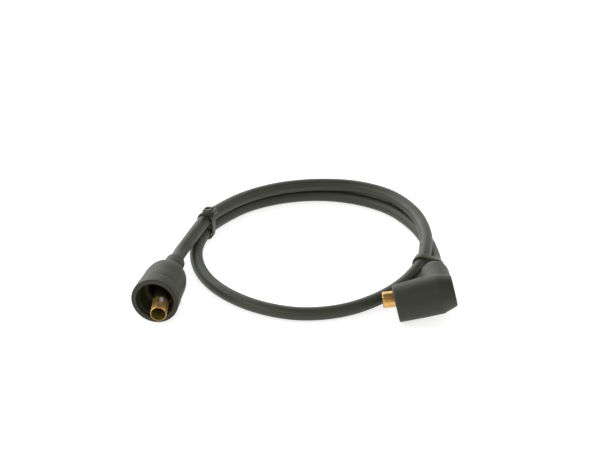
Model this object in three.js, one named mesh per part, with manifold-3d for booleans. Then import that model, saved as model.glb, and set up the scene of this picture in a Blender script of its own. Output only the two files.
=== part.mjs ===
import * as THREE from 'three';
import { mergeVertices } from 'three/addons/utils/BufferGeometryUtils.js';
import Module from 'manifold-3d';

// An ignition lead, laid down in one and a half turns on a flat surface.
// Millimetres, +Z up, +X to the right and +Y away from the front of the coil.
// The origin is on the surface, under the middle of the two boots.

const wasm = await Module();
wasm.setup();

// Fit between touching pieces, and round the core, whose bends fall between the jacket's
const fitGap = 0.3;
const coreFit = 0.42;

// Cable
const cableRadius = 3.5;
const coreRadius = 1.2;
const coreStrip = 3.8;
const jacketSides = 12;
const coreSides = 8;
const cableSteps = 80;

// Brass sleeve terminals, the same sleeve on both ends
const sleeveWall = 0.42;
const sleeveLength = 24.0;
const elbowSleeveLength = 21.5;
const sleeveSeamWidth = 0.5;
const straightSeamTurn = 157.0;
const elbowSeamTurn = 236.0;
const sleeveLipWall = 0.5;
const windowTurn = 14.0;
const windowStart = 4.9;
const windowLength = 4.6;
const windowWidth = 2.8;
const tongueWidth = 2.0;
const tongueThickness = 0.5;

// Straight boot, measured from its mouth to the end of its neck
const straightMouth = new THREE.Vector3(-71.6, -16.9, 12.56);
const straightTurn = 11.0;
const straightDip = 2.6;
const mouthRadius = 12.45;
const mouthBore = 9.7;
const sealBore = 9.1;
const bodyEndRadius = 11.4;
const bodyLength = 18.2;
const shoulderLength = 13.5;
const ringStep = 0.25;
const ringPlace = 7.9;
const collarRadius = 5.2;
const collarLength = 10.6;
const cavityDepth = 12.0;
const socketRadius = 6.6;
const socketDepth = 20.0;
const socketTaper = 6.5;
const lipFlare = 0.8;
const lipFlareLength = 4.5;

// Where the sleeve sits in the straight boot: how far it stands out, and its lean
const straightReach = 8.1;
const straightLeanRight = 4.1;
const straightLeanDown = 2.5;
const straightSeatRight = 0.7;
const straightSeatDown = 0.4;

// Elbow boot, measured from its mouth to its closed end
const elbowMouth = new THREE.Vector3(51.7, -14.7, 9.6);
const elbowTurn = 4.0;
const elbowRise = 12.9;
const elbowRoll = 8.0;
const elbowMouthRadius = 9.75;
const elbowWaistRadius = 10.3;
const elbowWaistPlace = 12.0;
const elbowBackRadius = 10.5;
const elbowBackPlace = 23.3;
const elbowEndRadius = 8.1;
const elbowLength = 30.8;
const elbowBore = 7.7;
const elbowBoreDepth = 25.6;
const boreEdge = 2.0;
const neckRadius = 7.6;
const neckLength = 28.4;
const neckEdge = 5.8;
const crimpDepth = 13.5;

// Where the sleeve sits in the elbow boot
const elbowReach = 6.0;
const elbowLean = 2.9;
const bridgeWidth = 5.4;
const bridgeOverlap = 0.8;
const crimpStart = 4.4;
const crimpLength = 8.4;

// Cable ties: a strap in a loop, and a head with a pocket for the strap and a round toe
const strapWidth = 3.7;
const strapThickness = 1.0;
const headWidth = 4.4;
const headLength = 5.0;
const headHeight = 4.2;
const toeLength = 1.8;
const toeHeight = 3.2;
const pocketLength = 3.4;
const pocketWidth = 2.0;
const pocketDepth = 2.2;
const tieSegments = 10;

// Round facets
const bootFacets = 44;
const sleeveFacets = 28;

// How far before the two necks the cable's line is straight
const straightApproach = 4.0;
const elbowApproach = 6.0;

// The cable's way from the straight boot's neck to the elbow boot's neck
const cableRoute = [
  [-61.9, 34.1, 10.0],
  [-58.1, 44.3, 10.8],
  [-54.0, 55.0, 11.7],
  [-49.1, 67.4, 12.1],
  [-41.7, 79.2, 11.8],
  [-27.0, 94.9, 11.1],
  [-8.0, 105.2, 10.9],
  [14.0, 109.1, 10.9],
  [35.5, 106.5, 10.9],
  [54.0, 95.7, 10.9],
  [66.3, 76.4, 10.9],
  [70.9, 55.2, 10.9],
  [70.2, 38.2, 10.8],
  [67.5, 25.6, 9.8],
  [57.5, 10.2, 6.9],
  [42.5, -2.8, 4.7],
  [23.5, -12.1, 3.7],
  [2.0, -14.7, 3.6],
  [-19.5, -7.8, 3.6],
  [-38.0, 6.8, 3.6],
  [-49.6, 25.7, 3.6],
  [-53.6, 46.2, 4.2],
  [-49.1, 67.4, 5.0],
  [-41.5, 81.2, 4.3],
  [-26.0, 98.0, 3.6],
  [-6.0, 107.4, 3.6],
  [15.5, 110.0, 3.6],
  [36.0, 105.3, 3.6],
  [53.5, 94.0, 3.6],
  [66.3, 75.2, 3.6],
  [72.5, 57.7, 3.6],
  [74.9, 43.6, 3.8],
  [75.2, 34.0, 5.3],
  [74.8, 24.5, 8.1]
];

// The points of that way that the two ties hold together
const leftTieUpper = cableRoute[3];
const leftTieLower = cableRoute[22];
const leftTieTurn = 24.5;
const leftTieRise = 0.0;
const leftStrapShift = 0.3;
const leftHeadInward = 1.9;
const leftHeadRise = 5.4;
const leftHeadTilt = -14.0;
const rightTieUpper = cableRoute[13];
const rightTieLower = cableRoute[33];
const rightTieTurn = 13.0;
const rightTieRise = -4.2;
const rightHeadPlace = 1.6;

// Sizes that follow from the ones above
const sleeveInner = cableRadius + fitGap;
const sleeveRadius = sleeveInner + sleeveWall;
const cableStop = windowStart + windowLength + fitGap;
const neckBore = cableRadius + fitGap;
const coreBore = coreRadius + coreFit;
const crimpBore = sleeveRadius + fitGap;
const neckPlace = elbowLength - neckRadius;
const jacketEnd = crimpStart;
const bootLength = bodyLength + shoulderLength + collarLength;

const turn = THREE.MathUtils.degToRad;

// A frame whose z axis runs along axis and whose y axis is as near to up as it can be.
function frameAt(origin, axis, up) {
  const z = axis.clone().normalize();
  const y = up.clone().addScaledVector(z, -up.dot(z)).normalize();
  const x = new THREE.Vector3().crossVectors(y, z);
  return new THREE.Matrix4().makeBasis(x, y, z).setPosition(origin);
}

// A direction from its turn to the right of +Y and its rise above the surface
function heading(turnDegrees, riseDegrees) {
  const flat = Math.cos(turn(riseDegrees));
  return new THREE.Vector3(
    Math.sin(turn(turnDegrees)) * flat,
    Math.cos(turn(turnDegrees)) * flat,
    Math.sin(turn(riseDegrees))
  );
}

function solidOf(geometry) {
  const bare = geometry.clone();
  bare.deleteAttribute('normal');
  bare.deleteAttribute('uv');
  const merged = mergeVertices(bare, 1e-4);
  const vertProperties = new Float32Array(merged.attributes.position.array);
  const triVerts = new Uint32Array(merged.index.array);
  return new wasm.Manifold(new wasm.Mesh({ numProp: 3, vertProperties, triVerts }));
}

function geometryOf(solid) {
  const mesh = solid.getMesh();
  const geometry = new THREE.BufferGeometry();
  geometry.setAttribute('position', new THREE.BufferAttribute(mesh.vertProperties, 3));
  geometry.setIndex(new THREE.BufferAttribute(mesh.triVerts, 1));
  geometry.computeVertexNormals();
  return geometry;
}

// A turned shape about +Z from [radius, height] points that go up outside and down inside
function turned(points, facets) {
  const profile = points.map(([radius, height]) => new THREE.Vector2(radius, height));
  profile.push(profile[0].clone());
  return new THREE.LatheGeometry(profile, facets).rotateX(Math.PI / 2);
}

function block(width, height, depth, x, y, z) {
  return new THREE.BoxGeometry(width, height, depth).translate(x, y, z);
}

// Points on a quarter of an ellipse, from [r0, z0] round to [r1, z1], full at its start
function shoulderArc(r0, z0, r1, z1, count) {
  const points = [];
  for (let i = 1; i < count; i += 1) {
    const angle = (Math.PI / 2) * (i / count);
    const radius = r1 + (r0 - r1) * Math.cos(angle);
    points.push([radius, z0 + (z1 - z0) * Math.sin(angle)]);
  }
  return points;
}

// Straight boot: one hollow rubber moulding, with its mouth at z = 0 and its neck at the top
function straightBootGeometry() {
  const neckStart = bodyLength + shoulderLength;
  const taper = (mouthRadius - ringStep - bodyEndRadius) / bodyLength;
  const ringRadius = mouthRadius - taper * ringPlace;
  const socketFloor = cavityDepth + socketDepth - socketTaper;
  const points = [
    [mouthRadius - 0.5, 0],
    [mouthRadius - 0.1, 0.2],
    [mouthRadius, 0.6],
    [ringRadius, ringPlace],
    [ringRadius - ringStep, ringPlace + ringStep],
    [bodyEndRadius, bodyLength],
    ...shoulderArc(bodyEndRadius, bodyLength, collarRadius - 0.5, neckStart, 7),
    [collarRadius - 0.4, neckStart],
    [collarRadius, neckStart + 1.6],
    [collarRadius + 0.15, neckStart + collarLength / 2],
    [collarRadius, bootLength - 1.2],
    [collarRadius - 0.5, bootLength],
    [neckBore + lipFlare, bootLength],
    [neckBore, bootLength - lipFlareLength],
    [neckBore, socketFloor],
    [socketRadius, socketFloor - socketTaper],
    [socketRadius, cavityDepth],
    [mouthBore - 0.2, cavityDepth],
    [mouthBore, 4.6],
    [sealBore, 3.6],
    [sealBore, 2.6],
    [mouthBore, 1.4],
    [mouthBore + 0.3, 0.3],
    [mouthBore + 0.9, 0]
  ];
  return turned(points, bootFacets);
}

// Brass sleeve: rolled sheet with its open seam, a lipped front end at z = 0,
// a window on the +Y side and a tongue bent in from the window to the core
function sleeveSolid(length, seamTurn) {
  const points = [
    [sleeveRadius - 0.15, 0],
    [sleeveRadius, 0.2],
    [sleeveRadius, length],
    [sleeveInner, length],
    [sleeveInner, 1.2],
    [sleeveRadius - sleeveLipWall, 0.6],
    [sleeveRadius - sleeveLipWall, 0]
  ];
  const seam = block(sleeveRadius * 2, sleeveSeamWidth, length + 2, sleeveRadius, 0, length / 2);
  seam.rotateZ(turn(seamTurn));
  const windowMiddle = windowStart + windowLength / 2;
  const window = block(windowWidth, sleeveRadius, windowLength, 0, sleeveRadius, windowMiddle);
  window.rotateZ(turn(windowTurn));
  return solidOf(turned(points, sleeveFacets)).subtract(solidOf(seam)).subtract(solidOf(window));
}

function tongueSolid() {
  const top = sleeveRadius - sleeveWall / 2;
  const drop = top - coreRadius - fitGap - tongueThickness / 2;
  const run = windowLength * 0.75;
  const reach = Math.hypot(drop, run);
  const root = windowStart + windowLength;
  const plate = block(tongueWidth, tongueThickness, reach + 0.8, 0, 0, -reach / 2 + 0.4);
  plate.rotateX(Math.atan2(-drop, run)).translate(0, top, root).rotateZ(turn(windowTurn));
  return solidOf(plate);
}

function straightTerminalGeometry() {
  return geometryOf(sleeveSolid(sleeveLength, straightSeamTurn).add(tongueSolid()));
}

// Elbow terminal: the same sleeve, bridged to a crimp tube that stands across it at +Z,
// with the crimp's axis along +Y
function elbowTerminalGeometry(crimpPlace) {
  const sleeve = sleeveSolid(elbowSleeveLength, elbowSeamTurn);
  const crimpProfile = [
    [sleeveRadius, crimpStart],
    [sleeveRadius, crimpStart + crimpLength],
    [sleeveInner, crimpStart + crimpLength],
    [sleeveInner, crimpStart]
  ];
  const toY = -Math.PI / 2;
  const crimp = turned(crimpProfile, sleeveFacets).rotateX(toY).translate(0, 0, crimpPlace);
  const bridgeStart = elbowSleeveLength - bridgeWidth / 2;
  const bridgeLength = crimpPlace + bridgeOverlap - bridgeStart;
  const bridgeHeight = crimpStart + bridgeOverlap + bridgeWidth / 2;
  const bridge = block(sleeveWall, bridgeHeight, bridgeLength, 0, 0, 0).translate(
    sleeveRadius - sleeveWall / 2,
    (bridgeHeight - bridgeWidth) / 2,
    bridgeStart + bridgeLength / 2
  );
  return geometryOf(sleeve.add(solidOf(crimp)).add(solidOf(bridge)));
}

// Elbow boot: one hollow rubber moulding, a barrel along +Z and a neck along +Y
function elbowBootGeometry() {
  const barrel = turned([
    [0, 0],
    [elbowMouthRadius - 0.5, 0],
    [elbowMouthRadius, 0.5],
    [elbowWaistRadius, elbowWaistPlace],
    [elbowBackRadius, elbowBackPlace],
    [elbowEndRadius + 0.3, elbowLength - 0.3],
    [elbowEndRadius - 0.2, elbowLength],
    [0, elbowLength]
  ], bootFacets);
  const neckProfile = [
    [0, 0],
    [neckRadius, 0],
    [neckRadius, neckLength - neckEdge],
    ...shoulderArc(neckRadius, neckLength - neckEdge, neckBore + 0.7, neckLength, 5),
    [neckBore + 0.7, neckLength],
    [0, neckLength]
  ];
  const toY = -Math.PI / 2;
  const neck = turned(neckProfile, bootFacets).rotateX(toY).translate(0, 0, neckPlace);
  const bore = turned([
    [0, -1],
    [elbowBore + 0.5, -1],
    [elbowBore + 0.5, 0],
    [elbowBore, 0.8],
    [elbowBore, elbowBoreDepth - boreEdge],
    [elbowBore - boreEdge, elbowBoreDepth],
    [0, elbowBoreDepth]
  ], bootFacets);
  const neckHole = turned([
    [0, 0],
    [crimpBore, 0],
    [crimpBore, crimpDepth],
    [neckBore, crimpDepth + 1.5],
    [neckBore, neckLength - lipFlareLength],
    [neckBore + lipFlare, neckLength + 1],
    [0, neckLength + 1]
  ], sleeveFacets).rotateX(toY).translate(0, 0, neckPlace);
  const outside = solidOf(barrel).add(solidOf(neck));
  return geometryOf(outside.subtract(solidOf(bore)).subtract(solidOf(neckHole)));
}

// A tube along a curve, with a hole through it where hole is above zero
function tubeAlong(curve, radius, sides, hole) {
  const ring = (r, count) => {
    const corners = [];
    for (let i = 0; i < count; i += 1) {
      const angle = (2 * Math.PI * i) / count;
      corners.push(new THREE.Vector2(r * Math.cos(angle), r * Math.sin(angle)));
    }
    return corners;
  };
  const section = new THREE.Shape(ring(radius, sides));
  if (hole > 0) {
    section.holes.push(new THREE.Path(ring(hole / Math.cos(Math.PI / coreSides), coreSides)));
  }
  const settings = { steps: cableSteps, bevelEnabled: false, extrudePath: curve };
  return new THREE.ExtrudeGeometry(section, settings);
}

// The outline round two circles of one radius, as points
function beltOutline(a, b, radius) {
  const along = Math.atan2(b.y - a.y, b.x - a.x);
  const points = [];
  for (const [centre, start] of [[b, along - Math.PI / 2], [a, along + Math.PI / 2]]) {
    for (let i = 0; i <= tieSegments; i += 1) {
      const angle = start + (Math.PI * i) / tieSegments;
      const x = centre.x + radius * Math.cos(angle);
      const y = centre.y + radius * Math.sin(angle);
      points.push(new THREE.Vector2(x, y));
    }
  }
  return points;
}

// The head of a tie in its own plane, extruded to its width, with its pocket at the top
function tieHead() {
  const half = headLength / 2;
  const toeTop = toeHeight - headHeight / 2;
  const outline = new THREE.Shape();
  outline.moveTo(half, headHeight / 2);
  outline.lineTo(half, -headHeight / 2);
  outline.lineTo(-half - toeLength / 2, -headHeight / 2);
  outline.quadraticCurveTo(-half - toeLength, -headHeight / 2, -half - toeLength, 0);
  outline.quadraticCurveTo(-half - toeLength, toeTop, -half, toeTop);
  outline.lineTo(-half, headHeight / 2);
  const settings = { depth: headWidth, bevelEnabled: false, curveSegments: 4 };
  const body = new THREE.ExtrudeGeometry(outline, settings).translate(0, 0, -headWidth / 2);
  const pocketMiddle = (headHeight - pocketDepth) / 2 + 0.5;
  const pocket = block(pocketLength, pocketDepth + 1, pocketWidth, 0, pocketMiddle, 0);
  return solidOf(body).subtract(solidOf(pocket));
}

// A nylon tie round two cables at a and b, in the plane of z = 0, with its head at headCentre,
// turned by headTurn, and with the cables' way cut free in it
function tieGeometry(a, b, headCentre, headTurn, cableWay) {
  const inner = (cableRadius + fitGap) / Math.cos(Math.PI / (2 * tieSegments));
  const belt = new THREE.Shape(beltOutline(a, b, inner + strapThickness));
  belt.holes.push(new THREE.Path(beltOutline(a, b, inner)));
  const strap = new THREE.ExtrudeGeometry(belt, { depth: strapWidth, bevelEnabled: false });
  strap.translate(0, 0, -strapWidth / 2);
  const head = tieHead().rotate([0, 0, headTurn]).translate([headCentre.x, headCentre.y, 0]);
  return geometryOf(solidOf(strap).add(head).subtract(cableWay));
}

// Materials

const rubber = new THREE.MeshStandardMaterial({ color: 0x4a4b44, roughness: 0.62, metalness: 0 });
const cableRubber = new THREE.MeshStandardMaterial({ color: 0x3f403a, roughness: 0.5, metalness: 0 });
const brass = new THREE.MeshStandardMaterial({ color: 0xd6a55a, roughness: 0.3, metalness: 1 });
const copper = new THREE.MeshStandardMaterial({ color: 0xb8896a, roughness: 0.4, metalness: 1 });
const nylon = new THREE.MeshStandardMaterial({ color: 0x33342f, roughness: 0.4, metalness: 0 });

function piece(name, geometry, material, frame) {
  const mesh = new THREE.Mesh(geometry, material);
  mesh.name = name;
  if (frame) {
    frame.decompose(mesh.position, mesh.quaternion, mesh.scale);
  }
  return mesh;
}

// Frames of the two boots and of the sleeves in them

const up = new THREE.Vector3(0, 0, 1);
const straightFrame = frameAt(straightMouth, heading(straightTurn, -straightDip), up);
const inStraight = (right, down, depth) => (
  new THREE.Vector3(-right, -down, depth).applyMatrix4(straightFrame)
);
const sleeveFront = inStraight(straightLeanRight, straightLeanDown, -straightReach);
const sleeveSeat = inStraight(straightSeatRight, straightSeatDown, sleeveLength - straightReach);
const sleeveAxis = sleeveSeat.clone().sub(sleeveFront).normalize();
const sleeveFrame = frameAt(sleeveFront, sleeveAxis, up);

const barrelAxis = heading(90 - elbowTurn, elbowRise);
const away = new THREE.Vector3(-Math.sin(turn(elbowTurn)), Math.cos(turn(elbowTurn)), 0);
const neckAxis = away.clone().applyAxisAngle(barrelAxis, turn(-elbowRoll));
const elbowFrame = frameAt(elbowMouth, barrelAxis, neckAxis);
const inElbow = (raised, outward, depth) => (
  new THREE.Vector3(-raised, outward, depth).applyMatrix4(elbowFrame)
);
const crimpCentre = inElbow(0, 0, neckPlace);
const leanRise = elbowLean * (1 + elbowReach / neckPlace);
const elbowSleeveFront = inElbow(leanRise, 0, -elbowReach);
const elbowSleeveAxis = crimpCentre.clone().sub(elbowSleeveFront);
const crimpPlace = elbowSleeveAxis.length();
const elbowSleeveFrame = frameAt(elbowSleeveFront, elbowSleeveAxis, neckAxis);

// The cable's centre line, straight in each sleeve and neck, and longer for the bare core
function cableCurve(bareLength) {
  const inSleeve = (depth) => sleeveFront.clone().addScaledVector(sleeveAxis, depth);
  const points = [
    inSleeve(cableStop),
    inSleeve((cableStop + sleeveLength) / 2),
    inSleeve(sleeveLength + 1),
    inStraight(0, 0, bootLength - collarLength - straightApproach),
    inStraight(0, 0, bootLength - collarLength / 2),
    inStraight(0, 0, bootLength),
    ...cableRoute.map(([x, y, z]) => new THREE.Vector3(x, y, z)),
    inElbow(0, neckLength, neckPlace),
    inElbow(0, neckLength - elbowApproach, neckPlace),
    inElbow(0, (neckLength + jacketEnd) / 2, neckPlace),
    inElbow(0, jacketEnd, neckPlace)
  ];
  if (bareLength > 0) {
    points.unshift(inSleeve(cableStop - bareLength));
    points.push(inElbow(0, jacketEnd - bareLength, neckPlace));
  }
  return new THREE.CatmullRomCurve3(points, false, 'centripetal');
}

// A tie's frame: its z axis along the cables, its y axis up, its x axis to the left of z
function tieFrame(upper, lower, turnDegrees, riseDegrees) {
  const centre = new THREE.Vector3(...upper).add(new THREE.Vector3(...lower)).multiplyScalar(0.5);
  return frameAt(centre, heading(turnDegrees, riseDegrees), up);
}

function tiePiece(name, upper, lower, frame, shift, headOf) {
  const back = frame.clone().invert();
  const a = new THREE.Vector3(...upper).applyMatrix4(back);
  const b = new THREE.Vector3(...lower).applyMatrix4(back);
  const way = tubeAlong(cableCurve(0), cableRadius + fitGap, jacketSides, 0).applyMatrix4(back);
  const [centre, headTurn] = headOf(a, b);
  a.x -= shift;
  b.x -= shift;
  return piece(name, tieGeometry(a, b, centre, headTurn, solidOf(way)), nylon, frame);
}

function leftHead(a) {
  return [new THREE.Vector2(a.x - leftHeadInward, a.y + leftHeadRise), leftHeadTilt];
}

// The right head lies under the cables, on the straight stretch of the strap
function rightHead(a, b) {
  const along = Math.atan2(b.y - a.y, b.x - a.x);
  const drop = cableRadius + fitGap + (strapThickness + headHeight) / 2;
  const x = a.x + rightHeadPlace * Math.cos(along) - drop * Math.sin(along);
  const y = a.y + rightHeadPlace * Math.sin(along) + drop * Math.cos(along);
  return [new THREE.Vector2(x, y), THREE.MathUtils.radToDeg(along)];
}

const leftTieFrame = tieFrame(leftTieUpper, leftTieLower, leftTieTurn, leftTieRise);
const rightTieFrame = tieFrame(rightTieUpper, rightTieLower, rightTieTurn, rightTieRise);

const part = new THREE.Group();
part.add(
  piece('straight_boot', straightBootGeometry(), rubber, straightFrame),
  piece('straight_terminal', straightTerminalGeometry(), brass, sleeveFrame),
  piece('elbow_boot', elbowBootGeometry(), rubber, elbowFrame),
  piece('elbow_terminal', elbowTerminalGeometry(crimpPlace), brass, elbowSleeveFrame),
  piece('cable_jacket', tubeAlong(cableCurve(0), cableRadius, jacketSides, coreBore), cableRubber),
  piece('cable_core', tubeAlong(cableCurve(coreStrip), coreRadius, coreSides, 0), copper),
  tiePiece('left_tie', leftTieUpper, leftTieLower, leftTieFrame, leftStrapShift, leftHead),
  tiePiece('right_tie', rightTieUpper, rightTieLower, rightTieFrame, 0, rightHead)
);

export default part;
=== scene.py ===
import math

import bmesh
import bpy
from bpy.props import FloatProperty, FloatVectorProperty, IntProperty, PointerProperty
from mathutils import Matrix, Vector


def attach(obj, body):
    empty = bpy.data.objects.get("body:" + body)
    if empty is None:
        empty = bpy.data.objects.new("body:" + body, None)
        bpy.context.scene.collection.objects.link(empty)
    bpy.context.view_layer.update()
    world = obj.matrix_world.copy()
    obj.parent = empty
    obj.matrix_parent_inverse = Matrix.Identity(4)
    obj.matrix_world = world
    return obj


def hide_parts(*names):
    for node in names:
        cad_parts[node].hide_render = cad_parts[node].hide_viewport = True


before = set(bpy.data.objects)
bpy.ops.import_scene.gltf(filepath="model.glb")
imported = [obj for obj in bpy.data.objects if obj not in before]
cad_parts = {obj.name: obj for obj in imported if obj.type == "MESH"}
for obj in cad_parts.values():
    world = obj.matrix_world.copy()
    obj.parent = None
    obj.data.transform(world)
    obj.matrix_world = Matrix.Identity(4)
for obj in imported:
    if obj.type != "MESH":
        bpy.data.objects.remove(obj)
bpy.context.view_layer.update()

bl_info = {
    "name": "Ignition lead",
    "version": (1, 0, 0),
    "blender": (4, 5, 0),
    "location": "3D View > Sidebar > Lead",
    "description": "Dresses a coiled ignition lead: cable, boots, terminals and cable ties",
    "category": "Object",
}

MM = 0.001
UP = Vector((0.0, 0.0, 1.0))


def linear(hex_colour):
    """The linear red, green and blue of an sRGB hex colour."""
    channels = [int(hex_colour[i:i + 2], 16) / 255 for i in (1, 3, 5)]
    return tuple(c / 12.92 if c <= 0.04045 else ((c + 0.055) / 1.055) ** 2.4 for c in channels)


def rgba(colour):
    return (*colour, 1.0)


# Sizes that the pieces share with the solids, in metres

CABLE_RADIUS = 3.5 * MM
FIT_GAP = 0.3 * MM

# The rolled sleeves, from their front edge, with turns in degrees round their own line
SLEEVE_WALL = 0.42 * MM
SLEEVE_RADIUS = CABLE_RADIUS + FIT_GAP + SLEEVE_WALL
SLEEVE_LENGTH = 24.0 * MM
ELBOW_SLEEVE_LENGTH = 21.5 * MM
SEAM_WIDTH = 0.5 * MM
STRAIGHT_SEAM_TURN = 157.0
ELBOW_SEAM_TURN = 236.0
WINDOW_TURN = 14.0
WINDOW_START = 4.9 * MM
WINDOW_LENGTH = 4.6 * MM
WINDOW_END = WINDOW_START + WINDOW_LENGTH
WINDOW_WIDTH = 2.8 * MM
TONGUE_WIDTH = 2.0 * MM
CABLE_STOP = WINDOW_END + FIT_GAP
CORE_RADIUS = 1.2 * MM
INSULATION_RADIUS = 2.5 * MM
CORE_STRIP = 3.8 * MM

# The straight boot, from the middle of its mouth: its turn to the right and its dip in degrees
STRAIGHT_MOUTH = Vector((-71.6, -16.9, 12.56)) * MM
STRAIGHT_TURN = 11.0
STRAIGHT_DIP = 2.6
MOUTH_RADIUS = 12.45 * MM
MOUTH_BORE = 9.7 * MM
SEAL_BORE = 9.1 * MM
BODY_END_RADIUS = 11.4 * MM
BODY_LENGTH = 18.2 * MM
SHOULDER_LENGTH = 13.5 * MM
RING_STEP = 0.25 * MM
RING_PLACE = 7.9 * MM
COLLAR_RADIUS = 5.2 * MM
COLLAR_LENGTH = 10.6 * MM
CAVITY_DEPTH = 12.0 * MM
SOCKET_RADIUS = 6.6 * MM
SOCKET_DEPTH = 20.0 * MM
SOCKET_TAPER = 6.5 * MM
LIP_FLARE = 0.8 * MM
LIP_FLARE_LENGTH = 4.5 * MM
BOOT_LENGTH = BODY_LENGTH + SHOULDER_LENGTH + COLLAR_LENGTH

# How far the straight terminal stands out of the mouth, and how far to the right of the boot's
# own line and below it the terminal's front and seat are
STRAIGHT_REACH = 8.1 * MM
STRAIGHT_LEAN = (4.1 * MM, 2.5 * MM)
STRAIGHT_SEAT = (0.7 * MM, 0.4 * MM)

# The right-angle boot, from the middle of its mouth: its barrel, and the neck across it
ELBOW_MOUTH = Vector((51.7, -14.7, 9.6)) * MM
ELBOW_TURN = 4.0
ELBOW_RISE = 12.9
ELBOW_ROLL = 8.0
ELBOW_MOUTH_RADIUS = 9.75 * MM
ELBOW_WAIST_RADIUS = 10.3 * MM
ELBOW_WAIST_PLACE = 12.0 * MM
ELBOW_BACK_RADIUS = 10.5 * MM
ELBOW_BACK_PLACE = 23.3 * MM
ELBOW_END_RADIUS = 8.1 * MM
ELBOW_LENGTH = 30.8 * MM
ELBOW_BORE = 7.7 * MM
ELBOW_BORE_DEPTH = 25.6 * MM
NECK_RADIUS = 7.6 * MM
NECK_LENGTH = 28.4 * MM
NECK_EDGE = 5.8 * MM
NECK_PLACE = ELBOW_LENGTH - NECK_RADIUS
CRIMP_DEPTH = 13.5 * MM

# How far the elbow's terminal stands out of the mouth and lies above the barrel's own line there
ELBOW_REACH = 6.0 * MM
ELBOW_LEAN = 2.9 * MM
CRIMP_START = 4.4 * MM
CRIMP_LENGTH = 8.4 * MM
BRIDGE_WIDTH = 5.4 * MM

# How far the cable runs straight out of the sleeve, and how far in front of the collar and inside
# the neck's end it is on their own lines
SLEEVE_APPROACH = 1.0 * MM
STRAIGHT_APPROACH = 4.0 * MM
ELBOW_APPROACH = 6.0 * MM

# The ties' heads, with a lower toe and a pocket that the strap comes out of
HEAD_WIDTH = 4.4 * MM
HEAD_LENGTH = 5.0 * MM
HEAD_HEIGHT = 4.2 * MM
TOE_LENGTH = 1.8 * MM
TOE_HEIGHT = 3.2 * MM
POCKET_LENGTH = 3.4 * MM
POCKET_WIDTH = 2.0 * MM
POCKET_DEPTH = 2.2 * MM

# Sizes that only the dressed pieces have, in metres

# The boots: the groove behind the ring, the collar, the seal, and where the painted shade in the
# mouth sets in as the bloom fades out
GROOVE_DEPTH = 0.25 * MM
GROOVE_WIDTH = 0.9 * MM
RING_EDGE = 0.15 * MM
COLLAR_ROOT = 1.8 * MM
COLLAR_SWELL = 0.15 * MM
CAVITY_STEP = 0.9 * MM
SEAL_PLACES = [place * MM for place in (2.0, 2.9, 4.1, 4.9)]
SEAL_EDGE = 0.4 * MM
MOUTH_SHADE_DEPTH = 2.5 * MM
MOUTH_SHADE_FADE = 5 * MM
ELBOW_FLARE = 0.6 * MM
NECK_LIP = 0.7 * MM
ELBOW_FLARE_DEPTH = 1.0 * MM
CRIMP_TAPER = 1.5 * MM

# The straight boot: how far the shoulder's end and the collar's start are sunk below the collar,
# how much wider its bores are at both ends, and how much narrower the mouth's is behind the seal
SHOULDER_SINK = 0.5 * MM
COLLAR_SINK = 0.4 * MM
MOUTH_FLARE = 0.2 * MM
NECK_FLARE = 0.3 * MM
SEAL_DRAFT = 0.1 * MM

# How round the straight boot's corners are, some of which the right-angle boot shares
MOUTH_EDGE = 0.5 * MM
INNER_EDGE = 0.3 * MM
GROOVE_EDGE = 0.6 * MM
COLLAR_START_EDGE = 0.3 * MM
COLLAR_BEND = 1.2 * MM
COLLAR_CROWN = 4 * MM
COLLAR_EDGE = 0.9 * MM
LIP_BEND = 1.0 * MM
SOCKET_EDGE = 0.5 * MM
SOCKET_BEND = 2 * MM
CAVITY_BEND = 1.2 * MM

# How round the right-angle boot's corners are
ELBOW_MOUTH_EDGE = 0.7 * MM
ELBOW_WAIST_BEND = 8 * MM
ELBOW_BACK_EDGE = 1.6 * MM
ELBOW_END_EDGE = 0.8 * MM
ELBOW_FLARE_BEND = 0.6 * MM
ELBOW_BORE_BEND = 2 * MM
CRIMP_BEND = 0.4 * MM

# How far a cutting shape stands out of what it cuts
OVERSHOOT = 1 * MM

# The sleeves' front edge: how far in and how high each of its rows is
TURNED_IN = [(0.0, 0.8 * MM), (0.05 * MM, 0.35 * MM), (0.14 * MM, 0.03 * MM)]

# The terminals and the conductor
SHEET_EDGE = 0.07 * MM
TONGUE_RUN = 0.75 * WINDOW_LENGTH
# How far past the mouth the brass's painted shade takes to turn dark
PAINTED_SHADE_FADE = 2.5 * MM
BRIDGE_LAP = 0.8 * MM
BRIDGE_SLANT = 4 * MM
STRAND_COUNT = 6
STRAND_OVERLAP = 2 * MM
STRAND_PITCH = 14 * MM

# The ties' heads
HEAD_EDGE = 0.35 * MM
HEAD_BEVEL = 0.16 * MM
TOE_EDGES = (1.5 * MM, 1.6 * MM)
POCKET_EDGE = 0.2 * MM

# The pawl: how far its foot and its tip are from the pocket's two ends, how far below the head's
# top the tip's corners are, and how far its foot is sunk in the pocket's floor
PAWL_FOOT = (0.2 * MM, 1.3 * MM)
PAWL_TIP = (0.5 * MM, 1.9 * MM)
PAWL_TOP = (0.5 * MM, 0.7 * MM)
PAWL_SINK = 0.1 * MM

# How the ties stand: their turn and rise in degrees, and the places of their heads and straps

LEFT_TIE_TURN, LEFT_TIE_RISE = 24.5, 0.0
LEFT_STRAP_SHIFT = Vector((0.22 * MM, 0, 0))
LEFT_STRAP_GAP = 0.25 * MM
LEFT_HEAD_TILT = -14
LEFT_HEAD_PLACE = Vector((-1.9, 5.4, 0)) * MM
RIGHT_TIE_TURN, RIGHT_TIE_RISE = 13.0, -4.2
RIGHT_STRAP_GAP = 0.2 * MM
RIGHT_HEAD_SLIDE = 1.6 * MM

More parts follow.
